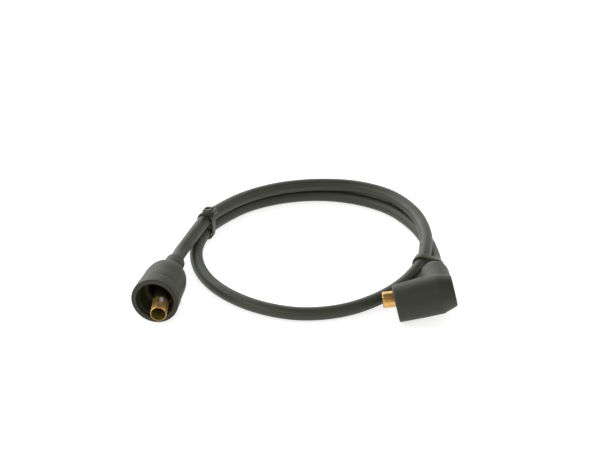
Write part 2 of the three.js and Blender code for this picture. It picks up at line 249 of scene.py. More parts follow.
# The cable's way from the straight boot's collar to the right-angle boot's neck
CABLE_ROUTE = [Vector(point) * MM for point in (
    (-61.9, 34.1, 10.0), (-58.1, 44.3, 10.8), (-54.0, 55.0, 11.7), (-49.1, 67.4, 12.1),
    (-41.7, 79.2, 11.8), (-27.0, 94.9, 11.1), (-8.0, 105.2, 10.9), (14.0, 109.1, 10.9),
    (35.5, 106.5, 10.9), (54.0, 95.7, 10.9), (66.3, 76.4, 10.9), (70.9, 55.2, 10.9),
    (70.2, 38.2, 10.8), (67.5, 25.6, 9.8), (57.5, 10.2, 6.9), (42.5, -2.8, 4.7),
    (23.5, -12.1, 3.7), (2.0, -14.7, 3.6), (-19.5, -7.8, 3.6), (-38.0, 6.8, 3.6),
    (-49.6, 25.7, 3.6), (-53.6, 46.2, 4.2), (-49.1, 67.4, 5.0), (-41.5, 81.2, 4.3),
    (-26.0, 98.0, 3.6), (-6.0, 107.4, 3.6), (15.5, 110.0, 3.6), (36.0, 105.3, 3.6),
    (53.5, 94.0, 3.6), (66.3, 75.2, 3.6), (72.5, 57.7, 3.6), (74.9, 43.6, 3.8),
    (75.2, 34.0, 5.3), (74.8, 24.5, 8.1),
)]

# The points of the route that each tie goes round
LEFT_TIE_UPPER, LEFT_TIE_LOWER = 3, 22
RIGHT_TIE_UPPER, RIGHT_TIE_LOWER = 13, 33

# The camera stands where the photograph was taken from
CAMERA_TARGET = Vector((2.7, 72.6, 0.0)) * MM
CAMERA_DISTANCE = 1.0
CAMERA_ELEVATION = 30.5
CAMERA_LENS = 107.7

# Half the floor's width, in metres
FLOOR_REACH = 6.0

# The lamps' sizes and places from the camera's target, in metres

KEY_SIZE, KEY_PLACE = (1.6, 1.2), Vector((-0.45, 0.9, 0.6))
FILL_SIZE, FILL_PLACE = (0.9, 0.3), Vector((-0.1, -0.95, 0.88))

# The light tent, by a ray's direction: where each change starts and ends, and its strength there

TENT_SLANT = 0.12
TENT_CEILING = {"From Min": 0.62, "From Max": 0.86, "To Min": 1.0, "To Max": 0.12}
TENT_FRONT = {"From Min": -0.85, "From Max": -0.2, "To Min": 0.4, "To Max": 1.0}
TENT_LEFT = {"From Min": -0.6, "From Max": -0.2, "To Min": 2.5, "To Max": 1.0}
TENT_SHADE = {"From Min": -0.9, "From Max": 0.5, "To Min": 0.42, "To Max": 0.68}


# Settings that a user would change

def length_setting(name, description, default):
    return FloatProperty(
        name=name, description=description, subtype="DISTANCE", unit="LENGTH", default=default)


def power_setting(name, description, default):
    return FloatProperty(
        name=name, description=description, subtype="POWER", unit="POWER", default=default)


def colour_setting(name, description, hex_colour):
    return FloatVectorProperty(
        name=name, description=description, subtype="COLOR", size=3, default=linear(hex_colour))


class LeadStageSettings(bpy.types.PropertyGroup):
    floor_colour: colour_setting("Floor colour", "Colour of the studio floor", "#e8e8e6")
    key_power: power_setting("Key power", "Power of the soft lamp overhead", 6.0)
    fill_power: power_setting("Fill power", "Power of the weak lamp at the front", 1.0)


class LeadCableSettings(bpy.types.PropertyGroup):
    diameter: length_setting("Cable diameter", "Outside diameter of the cable", 2 * CABLE_RADIUS)
    ring_spacing: length_setting(
        "Ring spacing", "Distance between the rings of the cable's mesh", 1.2 * MM)
    sides: IntProperty(name="Sides", description="Sides of the cable's section", default=32)
    colour: colour_setting("Cable colour", "Colour of the cable's rubber", "#3b3e30")


class LeadBootSettings(bpy.types.PropertyGroup):
    facets: IntProperty(name="Facets", description="Facets round a turned boot", default=120)
    colour: colour_setting("Boot colour", "Colour of the boots' rubber", "#303225")
    voxel: length_setting("Voxel", "Grain of the right-angle boot's blended mesh", 0.28 * MM)


class LeadTerminalSettings(bpy.types.PropertyGroup):
    wall: length_setting("Sheet thickness", "Thickness of the terminals' brass sheet", SLEEVE_WALL)
    colour: colour_setting("Brass colour", "Colour of the terminals", "#e4bb7c")


class LeadTieSettings(bpy.types.PropertyGroup):
    strap_width: length_setting("Strap width", "Width of the ties' straps", 3.7 * MM)
    strap_thickness: length_setting("Strap thickness", "Thickness of the ties' straps", 1.0 * MM)
    colour: colour_setting("Tie colour", "Colour of the ties' nylon", "#484636")


# Frames and lines

def frame_at(origin, axis, up=UP):
    """A frame whose z axis runs along axis and whose y axis is as near to up as it can be."""
    z = axis.normalized()
    y = (up - z * up.dot(z)).normalized()
    x = y.cross(z)
    matrix = Matrix((x, y, z)).transposed().to_4x4()
    matrix.translation = origin
    return matrix


def heading(turn, rise):
    """A direction from its turn to the right of +Y and its rise above the surface, in degrees."""
    turn, rise = math.radians(turn), math.radians(rise)
    flat = math.cos(rise)
    return Vector((math.sin(turn) * flat, math.cos(turn) * flat, math.sin(rise)))


STRAIGHT_FRAME = frame_at(STRAIGHT_MOUTH, heading(STRAIGHT_TURN, -STRAIGHT_DIP))


def in_straight(right, down, depth):
    """A point from its place in the straight boot: to the right, down and in from the mouth."""
    return STRAIGHT_FRAME @ Vector((-right, -down, depth))


STRAIGHT_SLEEVE_FRONT = in_straight(*STRAIGHT_LEAN, -STRAIGHT_REACH)
STRAIGHT_SLEEVE_SEAT = in_straight(*STRAIGHT_SEAT, SLEEVE_LENGTH - STRAIGHT_REACH)
STRAIGHT_SLEEVE_AXIS = (STRAIGHT_SLEEVE_SEAT - STRAIGHT_SLEEVE_FRONT).normalized()
STRAIGHT_SLEEVE_FRAME = frame_at(STRAIGHT_SLEEVE_FRONT, STRAIGHT_SLEEVE_AXIS)

BARREL_AXIS = heading(90 - ELBOW_TURN, ELBOW_RISE)
AWAY = Vector((-math.sin(math.radians(ELBOW_TURN)), math.cos(math.radians(ELBOW_TURN)), 0.0))
NECK_AXIS = Matrix.Rotation(math.radians(-ELBOW_ROLL), 3, BARREL_AXIS) @ AWAY
ELBOW_FRAME = frame_at(ELBOW_MOUTH, BARREL_AXIS, NECK_AXIS)


def in_elbow(raised, outward, depth):
    """A point from its place in the right-angle boot: up, along the neck and in from the mouth."""
    return ELBOW_FRAME @ Vector((-raised, outward, depth))


CRIMP_CENTRE = in_elbow(0, 0, NECK_PLACE)
ELBOW_SLEEVE_FRONT = in_elbow(ELBOW_LEAN * (1 + ELBOW_REACH / NECK_PLACE), 0, -ELBOW_REACH)
ELBOW_SLEEVE_AXIS = (CRIMP_CENTRE - ELBOW_SLEEVE_FRONT).normalized()
ELBOW_SLEEVE_FRAME = frame_at(ELBOW_SLEEVE_FRONT, ELBOW_SLEEVE_AXIS, NECK_AXIS)
CRIMP_PLACE = (CRIMP_CENTRE - ELBOW_SLEEVE_FRONT).length


def cable_points():
    """The points that the cable's centre line goes through, from sleeve to crimp."""
    def in_sleeve(depth):
        return STRAIGHT_SLEEVE_FRONT + STRAIGHT_SLEEVE_AXIS * depth

    return [
        in_sleeve(CABLE_STOP),
        in_sleeve((CABLE_STOP + SLEEVE_LENGTH) / 2),
        in_sleeve(SLEEVE_LENGTH + SLEEVE_APPROACH),
        in_straight(0, 0, BOOT_LENGTH - COLLAR_LENGTH - STRAIGHT_APPROACH),
        in_straight(0, 0, BOOT_LENGTH - COLLAR_LENGTH / 2),
        in_straight(0, 0, BOOT_LENGTH),
        *CABLE_ROUTE,
        in_elbow(0, NECK_LENGTH, NECK_PLACE),
        in_elbow(0, NECK_LENGTH - ELBOW_APPROACH, NECK_PLACE),
        in_elbow(0, (NECK_LENGTH + CRIMP_START) / 2, NECK_PLACE),
        in_elbow(0, CRIMP_START, NECK_PLACE),
    ]


# How many points of the cable's line come before its route, and how many points of the cord's
# path there are on each stretch between two of them
ROUTE_START = 6
PATH_STEPS = 12


def smooth_segments(points):
    """The cubic pieces of the centripetal line through the points: start, both handles, end."""
    ends = [2 * points[0] - points[1], *points, 2 * points[-1] - points[-2]]
    pieces = []
    for before, start, end, after in zip(ends, ends[1:], ends[2:], ends[3:]):
        spans = (start - before, end - start, after - end)
        reach = [math.sqrt(span.length) for span in spans]
        chord = spans[1] / reach[1]
        leaving = (start - before) / reach[0] - (end - before) / (reach[0] + reach[1]) + chord
        arriving = chord - (after - start) / (reach[1] + reach[2]) + (after - end) / reach[2]
        handle = reach[1] / 3
        pieces.append((start, start + leaving * handle, end - arriving * handle, end))
    return pieces


def points_along(points, count):
    """Points on the smooth line, count to each of its pieces."""
    line = []
    for a, b, c, d in smooth_segments(points):
        for step in range(count):
            t = step / count
            s = 1 - t
            line.append(a * s ** 3 + b * 3 * s * s * t + c * 3 * s * t * t + d * t ** 3)
    line.append(points[-1].copy())
    return line


def direction_at(index):
    """The cable's direction at a point of its route."""
    _, _, handle, point = smooth_segments(cable_points())[ROUTE_START + index - 1]
    return (point - handle).normalized()


# Outlines and meshes

def rounded(corners, segments=6):
    """A closed outline through (x, y, radius) corners, each an arc where its radius isn't 0."""
    outline = []
    count = len(corners)
    for i, (x, y, radius) in enumerate(corners):
        here = Vector((x, y))
        if radius <= 0:
            outline.append(here)
            continue
        before = Vector(corners[i - 1][:2]) - here
        after = Vector(corners[(i + 1) % count][:2]) - here
        half = before.angle(after) / 2
        back = min(radius / math.tan(half), 0.49 * before.length, 0.49 * after.length)
        start = here + before.normalized() * back
        end = here + after.normalized() * back
        for step in range(segments + 1):
            t = step / segments
            outline.append(start * (1 - t) ** 2 + here * 2 * t * (1 - t) + end * t * t)
    return outline


def quarter(r0, z0, r1, z1, count):
    """Corners on a quarter of an ellipse from (r0, z0) round to (r1, z1), full at its start."""
    corners = []
    for i in range(1, count):
        angle = math.pi / 2 * i / count
        corners.append((r1 + (r0 - r1) * math.cos(angle), z0 + (z1 - z0) * math.sin(angle), 0))
    return corners


def mesh_object(name, mesh, material=None):
    """A new object in the scene with the mesh, and with the material where one is given."""
    piece = bpy.data.objects.new(name, mesh)
    bpy.context.scene.collection.objects.link(piece)
    if material:
        mesh.materials.clear()
        mesh.materials.append(material)
    return piece


def mesh_of(shape, name):
    """The mesh of a finished shape, with its faces turned outward."""
    bmesh.ops.recalc_face_normals(shape, faces=shape.faces)
    mesh = bpy.data.meshes.new(name)
    shape.to_mesh(mesh)
    shape.free()
    return mesh


def skin(shape, rings):
    """Joins each ring of a shape's points to the next, and the last one to the first."""
    count = len(rings[0])
    for here, beyond in zip(rings, rings[1:] + rings[:1]):
        for j in range(count):
            k = (j + 1) % count
            shape.faces.new((here[j], beyond[j], beyond[k], here[k]))


def turned(name, outline, facets):
    """A closed ring of (radius, height) points turned about the z axis."""
    shape = bmesh.new()
    rings = []
    for i in range(facets):
        angle = 2 * math.pi * i / facets
        across, along = math.cos(angle), math.sin(angle)
        rings.append([shape.verts.new((r * across, r * along, z)) for r, z in outline])
    skin(shape, rings)
    bmesh.ops.remove_doubles(shape, verts=shape.verts, dist=1e-7)
    return mesh_of(shape, name)


def extruded(name, outline, depth):
    """A closed (x, y) outline extruded by depth, half to each side of z = 0."""
    shape = bmesh.new()
    low = [shape.verts.new((x, y, -depth / 2)) for x, y in outline]
    high = [shape.verts.new((x, y, depth / 2)) for x, y in outline]
    shape.faces.new(low[::-1])
    shape.faces.new(high)
    for i in range(len(outline)):
        k = (i + 1) % len(outline)
        shape.faces.new((low[i], low[k], high[k], high[i]))
    return mesh_of(shape, name)


def smooth(mesh, angle):
    """Smooths the faces of up to four sides, but keeps edges sharp past an angle in degrees."""
    for polygon in mesh.polygons:
        polygon.use_smooth = len(polygon.vertices) <= 4
    mesh.set_sharp_from_angle(angle=math.radians(angle))


def soften(piece, width, segments):
    """Rounds the sharp edges of a piece."""
    edge = piece.modifiers.new("edge", "BEVEL")
    edge.width = width
    edge.segments = segments
    edge.limit_method = "ANGLE"
    edge.angle_limit = math.radians(50)


def baked(piece, name):
    """The evaluated mesh of a piece as a new mesh, with the piece itself removed."""
    bpy.context.view_layer.update()
    depsgraph = bpy.context.evaluated_depsgraph_get()
    mesh = bpy.data.meshes.new_from_object(piece.evaluated_get(depsgraph), depsgraph=depsgraph)
    mesh.name = name
    bpy.data.objects.remove(piece, do_unlink=True)
    return mesh


def joined(name, meshes):
    """One mesh from several."""
    shape = bmesh.new()
    for mesh in meshes:
        shape.from_mesh(mesh)
    whole = bpy.data.meshes.new(name)
    shape.to_mesh(whole)
    shape.free()
    return whole


def cut(mesh, tools, operation="DIFFERENCE"):
    """A mesh with each of the tool meshes taken from it or added to it."""
    body = mesh_object("cut_body", mesh)
    helpers = []
    for tool in tools:
        helper = mesh_object("cut_tool", tool)
        helpers.append(helper)
        modifier = body.modifiers.new("cut", "BOOLEAN")
        modifier.operation = operation
        modifier.solver = "EXACT"
        modifier.object = helper
    result = baked(body, mesh.name)
    for helper in helpers:
        bpy.data.objects.remove(helper, do_unlink=True)
    return result


def declare(piece, slot, *nodes):
    """The piece rides on the lead's one body and stands for its solids."""
    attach(piece, "root")
    if nodes:
        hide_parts(*nodes)


# Nodes

def add(tree, kind, inputs=None, **settings):
    """Adds a node with its settings, and sets or links its inputs."""
    made = tree.nodes.new(kind)
    for name, value in settings.items():
        setattr(made, name, value)
    for socket, value in (inputs or {}).items():
        if isinstance(value, bpy.types.NodeSocket):
            tree.links.new(value, made.inputs[socket])
        else:
            made.inputs[socket].default_value = value
    return made


def new_material(name):
    material = bpy.data.materials.new(name)
    material.use_nodes = True
    material.node_tree.nodes.clear()
    return material, material.node_tree


def surfaced(material, surface):
    """The material with its surface set."""
    add(material.node_tree, "ShaderNodeOutputMaterial", {"Surface": surface})
    return material


def ramp(tree, factor, stops):
    """A colour ramp from (place, linear colour) stops."""
    made = add(tree, "ShaderNodeValToRGB", {"Fac": factor})
    elements = made.color_ramp.elements
    while len(elements) < len(stops):
        elements.new(0.5)
    for element, (place, colour) in zip(elements, stops):
        element.position = place
        element.color = rgba(colour)
    return made.outputs["Color"]


def spread(tree, factor, low, high):
    """Maps a factor of about 0.3 to 0.7 to values from low to high."""
    made = add(tree, "ShaderNodeMapRange", {
        "Value": factor, "From Min": 0.3, "From Max": 0.7, "To Min": low, "To Max": high})
    return made.outputs["Result"]


def clouded(name, size, stops, detail=4.0, roughness=0.6):
    """A new material with a base colour that wanders over the stops in clouds of one size: the
    material, its tree, the place on the object, the clouds and the base colour."""
    material, tree = new_material(name)
    place = add(tree, "ShaderNodeTexCoord").outputs["Object"]
    cloud = add(tree, "ShaderNodeTexNoise", {
        "Vector": place, "Scale": 1 / size, "Detail": detail, "Roughness": roughness})
    return material, tree, place, cloud.outputs["Fac"], ramp(tree, cloud.outputs["Fac"], stops)


def mirrored_ray(tree, path):
    """1 for a ray that comes by way of a glossy or clear surface, else 0."""
    mirrored = add(tree, "ShaderNodeMath", {
        0: path.outputs["Is Glossy Ray"], 1: path.outputs["Is Transmission Ray"],
    }, operation="MAXIMUM")
    return mirrored.outputs["Value"]


def tinted(colour, by):
    """A linear colour made darker or lighter by a factor."""
    return tuple(channel * by for channel in colour)


# Materials

def moulded_rubber(colour):
    """Moulded EPDM rubber: matte, a little cloudy, with a fine grain from the mould and a soft
    bloom that makes its edges paler. Deep in the mouth the bloom is weaker and the colour is a
    painted olive shade."""
    material, tree, place, cloud, base = clouded("Moulded EPDM rubber", 9 * MM, (
        (0.3, tinted(colour, 0.86)), (0.52, colour), (0.74, tinted(colour, 1.16))))
    inside = add(tree, "ShaderNodeAttribute", attribute_name="inside")
    # Painted shade: deep in the straight boot's mouth the colour is mixed to an olive shade colour,
    # and the bloom below is weaker there
    bare = add(tree, "ShaderNodeMix", {
        "Factor": inside.outputs["Fac"], 6: base, 7: rgba(linear("#4c4929"))}, data_type="RGBA")
    bloom = add(tree, "ShaderNodeMapRange", {
        "Value": inside.outputs["Fac"], "To Min": 0.5, "To Max": 0.3})
    # The real grain is about 0.1 mm: it is drawn coarser, so that it shows
    grain = add(tree, "ShaderNodeTexNoise", {
        "Vector": place, "Scale": 1 / (0.45 * MM), "Detail": 3.0, "Roughness": 0.65})
    swell = add(tree, "ShaderNodeTexNoise", {
        "Vector": place, "Scale": 1 / (6 * MM), "Detail": 2.0})
    low = add(tree, "ShaderNodeBump", {
        "Height": swell.outputs["Fac"], "Strength": 0.16, "Distance": 0.35 * MM})
    fine = add(tree, "ShaderNodeBump", {
        "Height": grain.outputs["Fac"], "Strength": 0.3, "Distance": 0.05 * MM,
        "Normal": low.outputs["Normal"]})
    shader = add(tree, "ShaderNodeBsdfPrincipled", {
        "Base Color": bare.outputs[2], "Roughness": spread(tree, cloud, 0.5, 0.62),
        "IOR": 1.5, "Specular IOR Level": bloom.outputs["Result"],
        "Specular Tint": rgba(linear("#fffef6")), "Sheen Weight": 0.04, "Sheen Roughness": 0.4,
        "Normal": fine.outputs["Normal"]})
    return surfaced(material, shader.outputs["BSDF"])


def extruded_rubber(colour):
    """Extruded silicone rubber: satin, with long faint streaks from the die along the cable, and
    the paler insulation under the jacket on its cut ends."""
    material, tree = new_material("Extruded silicone rubber")
    place = add(tree, "ShaderNodeTexCoord").outputs["Object"]
    section = add(tree, "ShaderNodeAttribute", attribute_name="section")
    run = add(tree, "ShaderNodeAttribute", attribute_name="run")
    across = add(tree, "ShaderNodeSeparateXYZ", {"Vector": section.outputs["Vector"]})
    along = add(tree, "ShaderNodeMath", {0: run.outputs["Fac"], 1: 0.03}, operation="MULTIPLY")
    lay = add(tree, "ShaderNodeCombineXYZ", {
        "X": across.outputs["X"], "Y": across.outputs["Y"], "Z": along.outputs["Value"]})
    # The real streaks are about 0.2 mm wide: they are drawn wider, so that they show
    streak = add(tree, "ShaderNodeTexNoise", {
        "Vector": lay.outputs["Vector"], "Scale": 1 / (0.8 * MM), "Detail": 3.0, "Roughness": 0.6})
    cloud = add(tree, "ShaderNodeTexNoise", {
        "Vector": place, "Scale": 1 / (12 * MM), "Detail": 4.0, "Roughness": 0.6})
    mixed = add(tree, "ShaderNodeMath", {
        0: streak.outputs["Fac"], 1: cloud.outputs["Fac"]}, operation="ADD")
    level = add(tree, "ShaderNodeMath", {0: mixed.outputs["Value"], 1: 0.5}, operation="MULTIPLY")
    base = ramp(tree, level.outputs["Value"], (
        (0.32, tinted(colour, 0.84)), (0.5, colour), (0.68, tinted(colour, 1.2))))
    middle = add(tree, "ShaderNodeVectorMath", {0: section.outputs["Vector"]}, operation="LENGTH")
    inside = add(tree, "ShaderNodeMapRange", {
        "Value": middle.outputs["Value"], "From Min": INSULATION_RADIUS - 0.1 * MM,
        "From Max": INSULATION_RADIUS, "To Min": 1.0, "To Max": 0.0})
    cut_end = add(tree, "ShaderNodeMix", {
        "Factor": inside.outputs["Result"], 6: base, 7: rgba(linear("#a9ad98"))},
        data_type="RGBA")
    bump = add(tree, "ShaderNodeBump", {
        "Height": streak.outputs["Fac"], "Strength": 0.25, "Distance": 0.06 * MM})
    shader = add(tree, "ShaderNodeBsdfPrincipled", {
        "Base Color": cut_end.outputs[2],
        "Roughness": spread(tree, cloud.outputs["Fac"], 0.42, 0.54),
        "IOR": 1.5, "Specular IOR Level": 0.5, "Sheen Weight": 0.03, "Sheen Roughness": 0.4,
        "Normal": bump.outputs["Normal"]})
    return surfaced(material, shader.outputs["BSDF"])


def rolled_brass(name, colour, bare):
    """Rolled brass sheet: bright, with fine lines from the rolls and a warm uneven tarnish, which
    leaves the share bare of its metal showing. Inside the sleeve it is painted a dull olive shade,
    deep in the boot a dark shade, and it is dull grey where it is tinned."""
    material, tree, place, cloud, base = clouded(name, 2.6 * MM, (
        (0.3, linear("#a8803c")), (0.46, linear("#cfa05a")), (0.62, colour)), 5.0, 0.65)
    # Painted shade: the brass is mixed to a dull olive at 0.5 and to near black at 1, by how deep
    # in shade it lies, and its metal and gloss are duller there
    painted_shade = add(tree, "ShaderNodeAttribute", attribute_name="painted_shade").outputs["Fac"]
    inner_shade = add(tree, "ShaderNodeMapRange", {"Value": painted_shade, "From Max": 0.5})
    thick = add(tree, "ShaderNodeMapRange", {"Value": painted_shade, "From Min": 0.5})
    olive_shaded = add(tree, "ShaderNodeMix", {
        "Factor": inner_shade.outputs["Result"], 6: base, 7: rgba(linear("#8a7c3c"))}, data_type="RGBA")
    dark_shaded = add(tree, "ShaderNodeMix", {
        "Factor": thick.outputs["Result"], 6: olive_shaded.outputs[2], 7: rgba(linear("#353219")),
    }, data_type="RGBA")
    tin = add(tree, "ShaderNodeAttribute", attribute_name="tin").outputs["Fac"]
    coated = add(tree, "ShaderNodeMix", {
        "Factor": tin, 6: dark_shaded.outputs[2], 7: rgba(linear("#c8bcc0"))}, data_type="RGBA")
    bright = spread(tree, cloud, bare, 1.0)
    dull = add(tree, "ShaderNodeMath", {
        0: inner_shade.outputs["Result"], 1: tin}, operation="MAXIMUM").outputs["Value"]
    metal = add(tree, "ShaderNodeMapRange", {"Value": dull, "To Min": bright, "To Max": 0.35})
    gloss = spread(tree, cloud, 0.44, 0.26)
    rough = add(tree, "ShaderNodeMapRange", {
        "Value": inner_shade.outputs["Result"], "To Min": gloss, "To Max": 0.6})
    # The real lines are about 0.03 mm wide: they are drawn wider, so that they show
    stretch = add(tree, "ShaderNodeMapping", {"Vector": place, "Scale": (1.0, 0.06, 1.0)})
    lines = add(tree, "ShaderNodeTexNoise", {
        "Vector": stretch.outputs["Vector"], "Scale": 1 / (0.16 * MM), "Detail": 2.0})
    bump = add(tree, "ShaderNodeBump", {
        "Height": lines.outputs["Fac"], "Strength": 0.22, "Distance": 0.02 * MM})
    shader = add(tree, "ShaderNodeBsdfPrincipled", {
        "Base Color": coated.outputs[2], "Metallic": metal.outputs["Result"],
        "Roughness": rough.outputs["Result"], "Normal": bump.outputs["Normal"]})
    return surfaced(material, shader.outputs["BSDF"])


def drawn_copper():
    """Drawn copper wire: dull, with a brown tint where the air has reached it."""
    material, tree, _, cloud, base = clouded("Drawn copper wire", 0.9 * MM, (
        (0.35, linear("#8a5a3c")), (0.65, linear("#c98f6b"))), 3.0, 0.5)
    shader = add(tree, "ShaderNodeBsdfPrincipled", {
        "Base Color": base, "Metallic": 1.0, "Roughness": spread(tree, cloud, 0.5, 0.32)})
    return surfaced(material, shader.outputs["BSDF"])


def moulded_nylon(colour):
    """Moulded black nylon: satin, with a slight orange peel and paler scuffs."""
    material, tree, place, cloud, base = clouded("Moulded nylon 66", 1.8 * MM, (
        (0.34, tinted(colour, 0.8)), (0.54, colour), (0.76, tinted(colour, 1.35))))
    peel = add(tree, "ShaderNodeTexNoise", {
        "Vector": place, "Scale": 1 / (0.5 * MM), "Detail": 2.0})
    bump = add(tree, "ShaderNodeBump", {
        "Height": peel.outputs["Fac"], "Strength": 0.2, "Distance": 0.04 * MM})
    shader = add(tree, "ShaderNodeBsdfPrincipled", {
        "Base Color": base, "Roughness": spread(tree, cloud, 0.36, 0.5),
        "IOR": 1.53, "Normal": bump.outputs["Normal"]})
    return surfaced(material, shader.outputs["BSDF"])


def studio_floor(colour):
    """Matte paper: it shows white to the camera and in gloss, and still takes a soft shadow."""
    material, tree = new_material("Studio paper")
    paper = add(tree, "ShaderNodeBsdfDiffuse", {"Color": rgba(colour)})
    glow = add(tree, "ShaderNodeEmission", {"Color": (1.0, 1.0, 1.0, 1.0), "Strength": 0.72})
    lit = add(tree, "ShaderNodeAddShader", {0: paper.outputs["BSDF"], 1: glow.outputs["Emission"]})
    path = add(tree, "ShaderNodeLightPath")
    white = add(tree, "ShaderNodeMath", {
        0: path.outputs["Is Camera Ray"], 1: mirrored_ray(tree, path)}, operation="MAXIMUM")
    seen = add(tree, "ShaderNodeMixShader", {
        "Fac": white.outputs["Value"], 1: paper.outputs["BSDF"], 2: lit.outputs["Shader"]})
    return surfaced(material, seen.outputs["Shader"])


# Geometry node trees

def new_tree(name, inputs):
    """A geometry node tree with a Geometry input and output and the named inputs."""
    tree = bpy.data.node_groups.new(name, "GeometryNodeTree")
    interface = tree.interface
    interface.new_socket("Geometry", in_out="INPUT", socket_type="NodeSocketGeometry")
    for label, kind in inputs:
        interface.new_socket(label, in_out="INPUT", socket_type=kind)
    interface.new_socket("Geometry", in_out="OUTPUT", socket_type="NodeSocketGeometry")
    return tree, tree.nodes.new("NodeGroupInput").outputs


def end_tree(tree, geometry, material):
    """Ends a tree in smooth faces, realized instances and one material."""
    shaded = add(tree, "GeometryNodeSetShadeSmooth", {"Geometry": geometry})
    real = add(tree, "GeometryNodeRealizeInstances", {"Geometry": shaded.outputs["Geometry"]})
    dressed = add(tree, "GeometryNodeSetMaterial", {
        "Geometry": real.outputs["Geometry"], "Material": material})
    add(tree, "NodeGroupOutput", {"Geometry": dressed.outputs["Geometry"]})


def cable_tree():
    """A round cable along a line, which keeps its run and its section as attributes."""
    tree, given = new_tree("Cable along a line", (
        ("Radius", "NodeSocketFloat"), ("Ring spacing", "NodeSocketFloat"),
        ("Sides", "NodeSocketInt"), ("Material", "NodeSocketMaterial")))
    line = add(tree, "GeometryNodeResampleCurve", {
        "Curve": given["Geometry"], "Length": given["Ring spacing"]}, mode="LENGTH")
    run = add(tree, "GeometryNodeSplineParameter")
    marked = add(tree, "GeometryNodeStoreNamedAttribute", {
        "Geometry": line.outputs["Curve"], "Name": "run", "Value": run.outputs["Length"]})
    ring = add(tree, "GeometryNodeCurvePrimitiveCircle", {
        "Resolution": given["Sides"], "Radius": given["Radius"]})
    spot = add(tree, "GeometryNodeInputPosition")
    section = add(tree, "GeometryNodeStoreNamedAttribute", {
        "Geometry": ring.outputs["Curve"], "Name": "section", "Value": spot.outputs["Position"],
    }, data_type="FLOAT_VECTOR")
    tube = add(tree, "GeometryNodeCurveToMesh", {
        "Curve": marked.outputs["Geometry"], "Profile Curve": section.outputs["Geometry"],
        "Fill Caps": True})
    end_tree(tree, tube.outputs["Mesh"], given["Material"])
    return tree


def strand_tree():
    """Twisted strands along a line, round one straight strand."""
    tree, given = new_tree("Twisted strands", (
        ("Strands", "NodeSocketInt"), ("Strand radius", "NodeSocketFloat"),
        ("Lay radius", "NodeSocketFloat"), ("Pitch", "NodeSocketFloat"),
        ("Material", "NodeSocketMaterial")))
    line = add(tree, "GeometryNodeResampleCurve", {
        "Curve": given["Geometry"], "Length": 0.25 * MM}, mode="LENGTH")
    copies = add(tree, "GeometryNodeDuplicateElements", {
        "Geometry": line.outputs["Curve"], "Amount": given["Strands"]}, domain="SPLINE")
    share = add(tree, "ShaderNodeMath", {
        0: copies.outputs["Duplicate Index"], 1: given["Strands"]}, operation="DIVIDE")
    run = add(tree, "GeometryNodeSplineParameter")
    wound = add(tree, "ShaderNodeMath", {
        0: run.outputs["Length"], 1: given["Pitch"]}, operation="DIVIDE")
    turns = add(tree, "ShaderNodeMath", {
        0: share.outputs["Value"], 1: wound.outputs["Value"]}, operation="ADD")
    angle = add(tree, "ShaderNodeMath", {
        0: turns.outputs["Value"], 1: 2 * math.pi}, operation="MULTIPLY")
    normal = add(tree, "GeometryNodeInputNormal")
    tangent = add(tree, "GeometryNodeInputTangent")
    arm = add(tree, "ShaderNodeVectorMath", {
        0: normal.outputs["Normal"], "Scale": given["Lay radius"]}, operation="SCALE")
    offset = add(tree, "ShaderNodeVectorRotate", {
        "Vector": arm.outputs["Vector"], "Center": (0.0, 0.0, 0.0),
        "Axis": tangent.outputs["Tangent"], "Angle": angle.outputs["Value"]},
        rotation_type="AXIS_ANGLE")
    twisted = add(tree, "GeometryNodeSetPosition", {
        "Geometry": copies.outputs["Geometry"], "Offset": offset.outputs["Vector"]})
    bundle = add(tree, "GeometryNodeJoinGeometry")
    tree.links.new(twisted.outputs["Geometry"], bundle.inputs["Geometry"])
    tree.links.new(line.outputs["Curve"], bundle.inputs["Geometry"])
    ring = add(tree, "GeometryNodeCurvePrimitiveCircle", {
        "Resolution": 10, "Radius": given["Strand radius"]})
    wires = add(tree, "GeometryNodeCurveToMesh", {
        "Curve": bundle.outputs["Geometry"], "Profile Curve": ring.outputs["Curve"],
        "Fill Caps": True})
    end_tree(tree, wires.outputs["Mesh"], given["Material"])
    return tree


def grown(name, line, tree, values):
    """The mesh that a tree makes of a curve object, with the tree's inputs set by name."""
    modifier = line.modifiers.new("tree", "NODES")
    modifier.node_group = tree
    for item in tree.interface.items_tree:
        if item.in_out == "INPUT" and item.name in values:
            modifier[item.identifier] = values[item.name]
    return baked(line, name)


def curve_through(name, points):
    """One open curve with a smooth line through the points."""
    data = bpy.data.curves.new(name, "CURVE")
    data.dimensions = "3D"
    data.resolution_u = 24
    spline = data.splines.new("BEZIER")
    spline.bezier_points.add(len(points) - 1)
    for point, place in zip(spline.bezier_points, points):
        point.handle_left_type = point.handle_right_type = "FREE"
        point.co = point.handle_left = point.handle_right = place
    for i, (_, leaving, arriving, _) in enumerate(smooth_segments(points)):
        spline.bezier_points[i].handle_right = leaving
        spline.bezier_points[i + 1].handle_left = arriving
    line = bpy.data.objects.new(name, data)
    bpy.context.scene.collection.objects.link(line)
    return line


# Operators

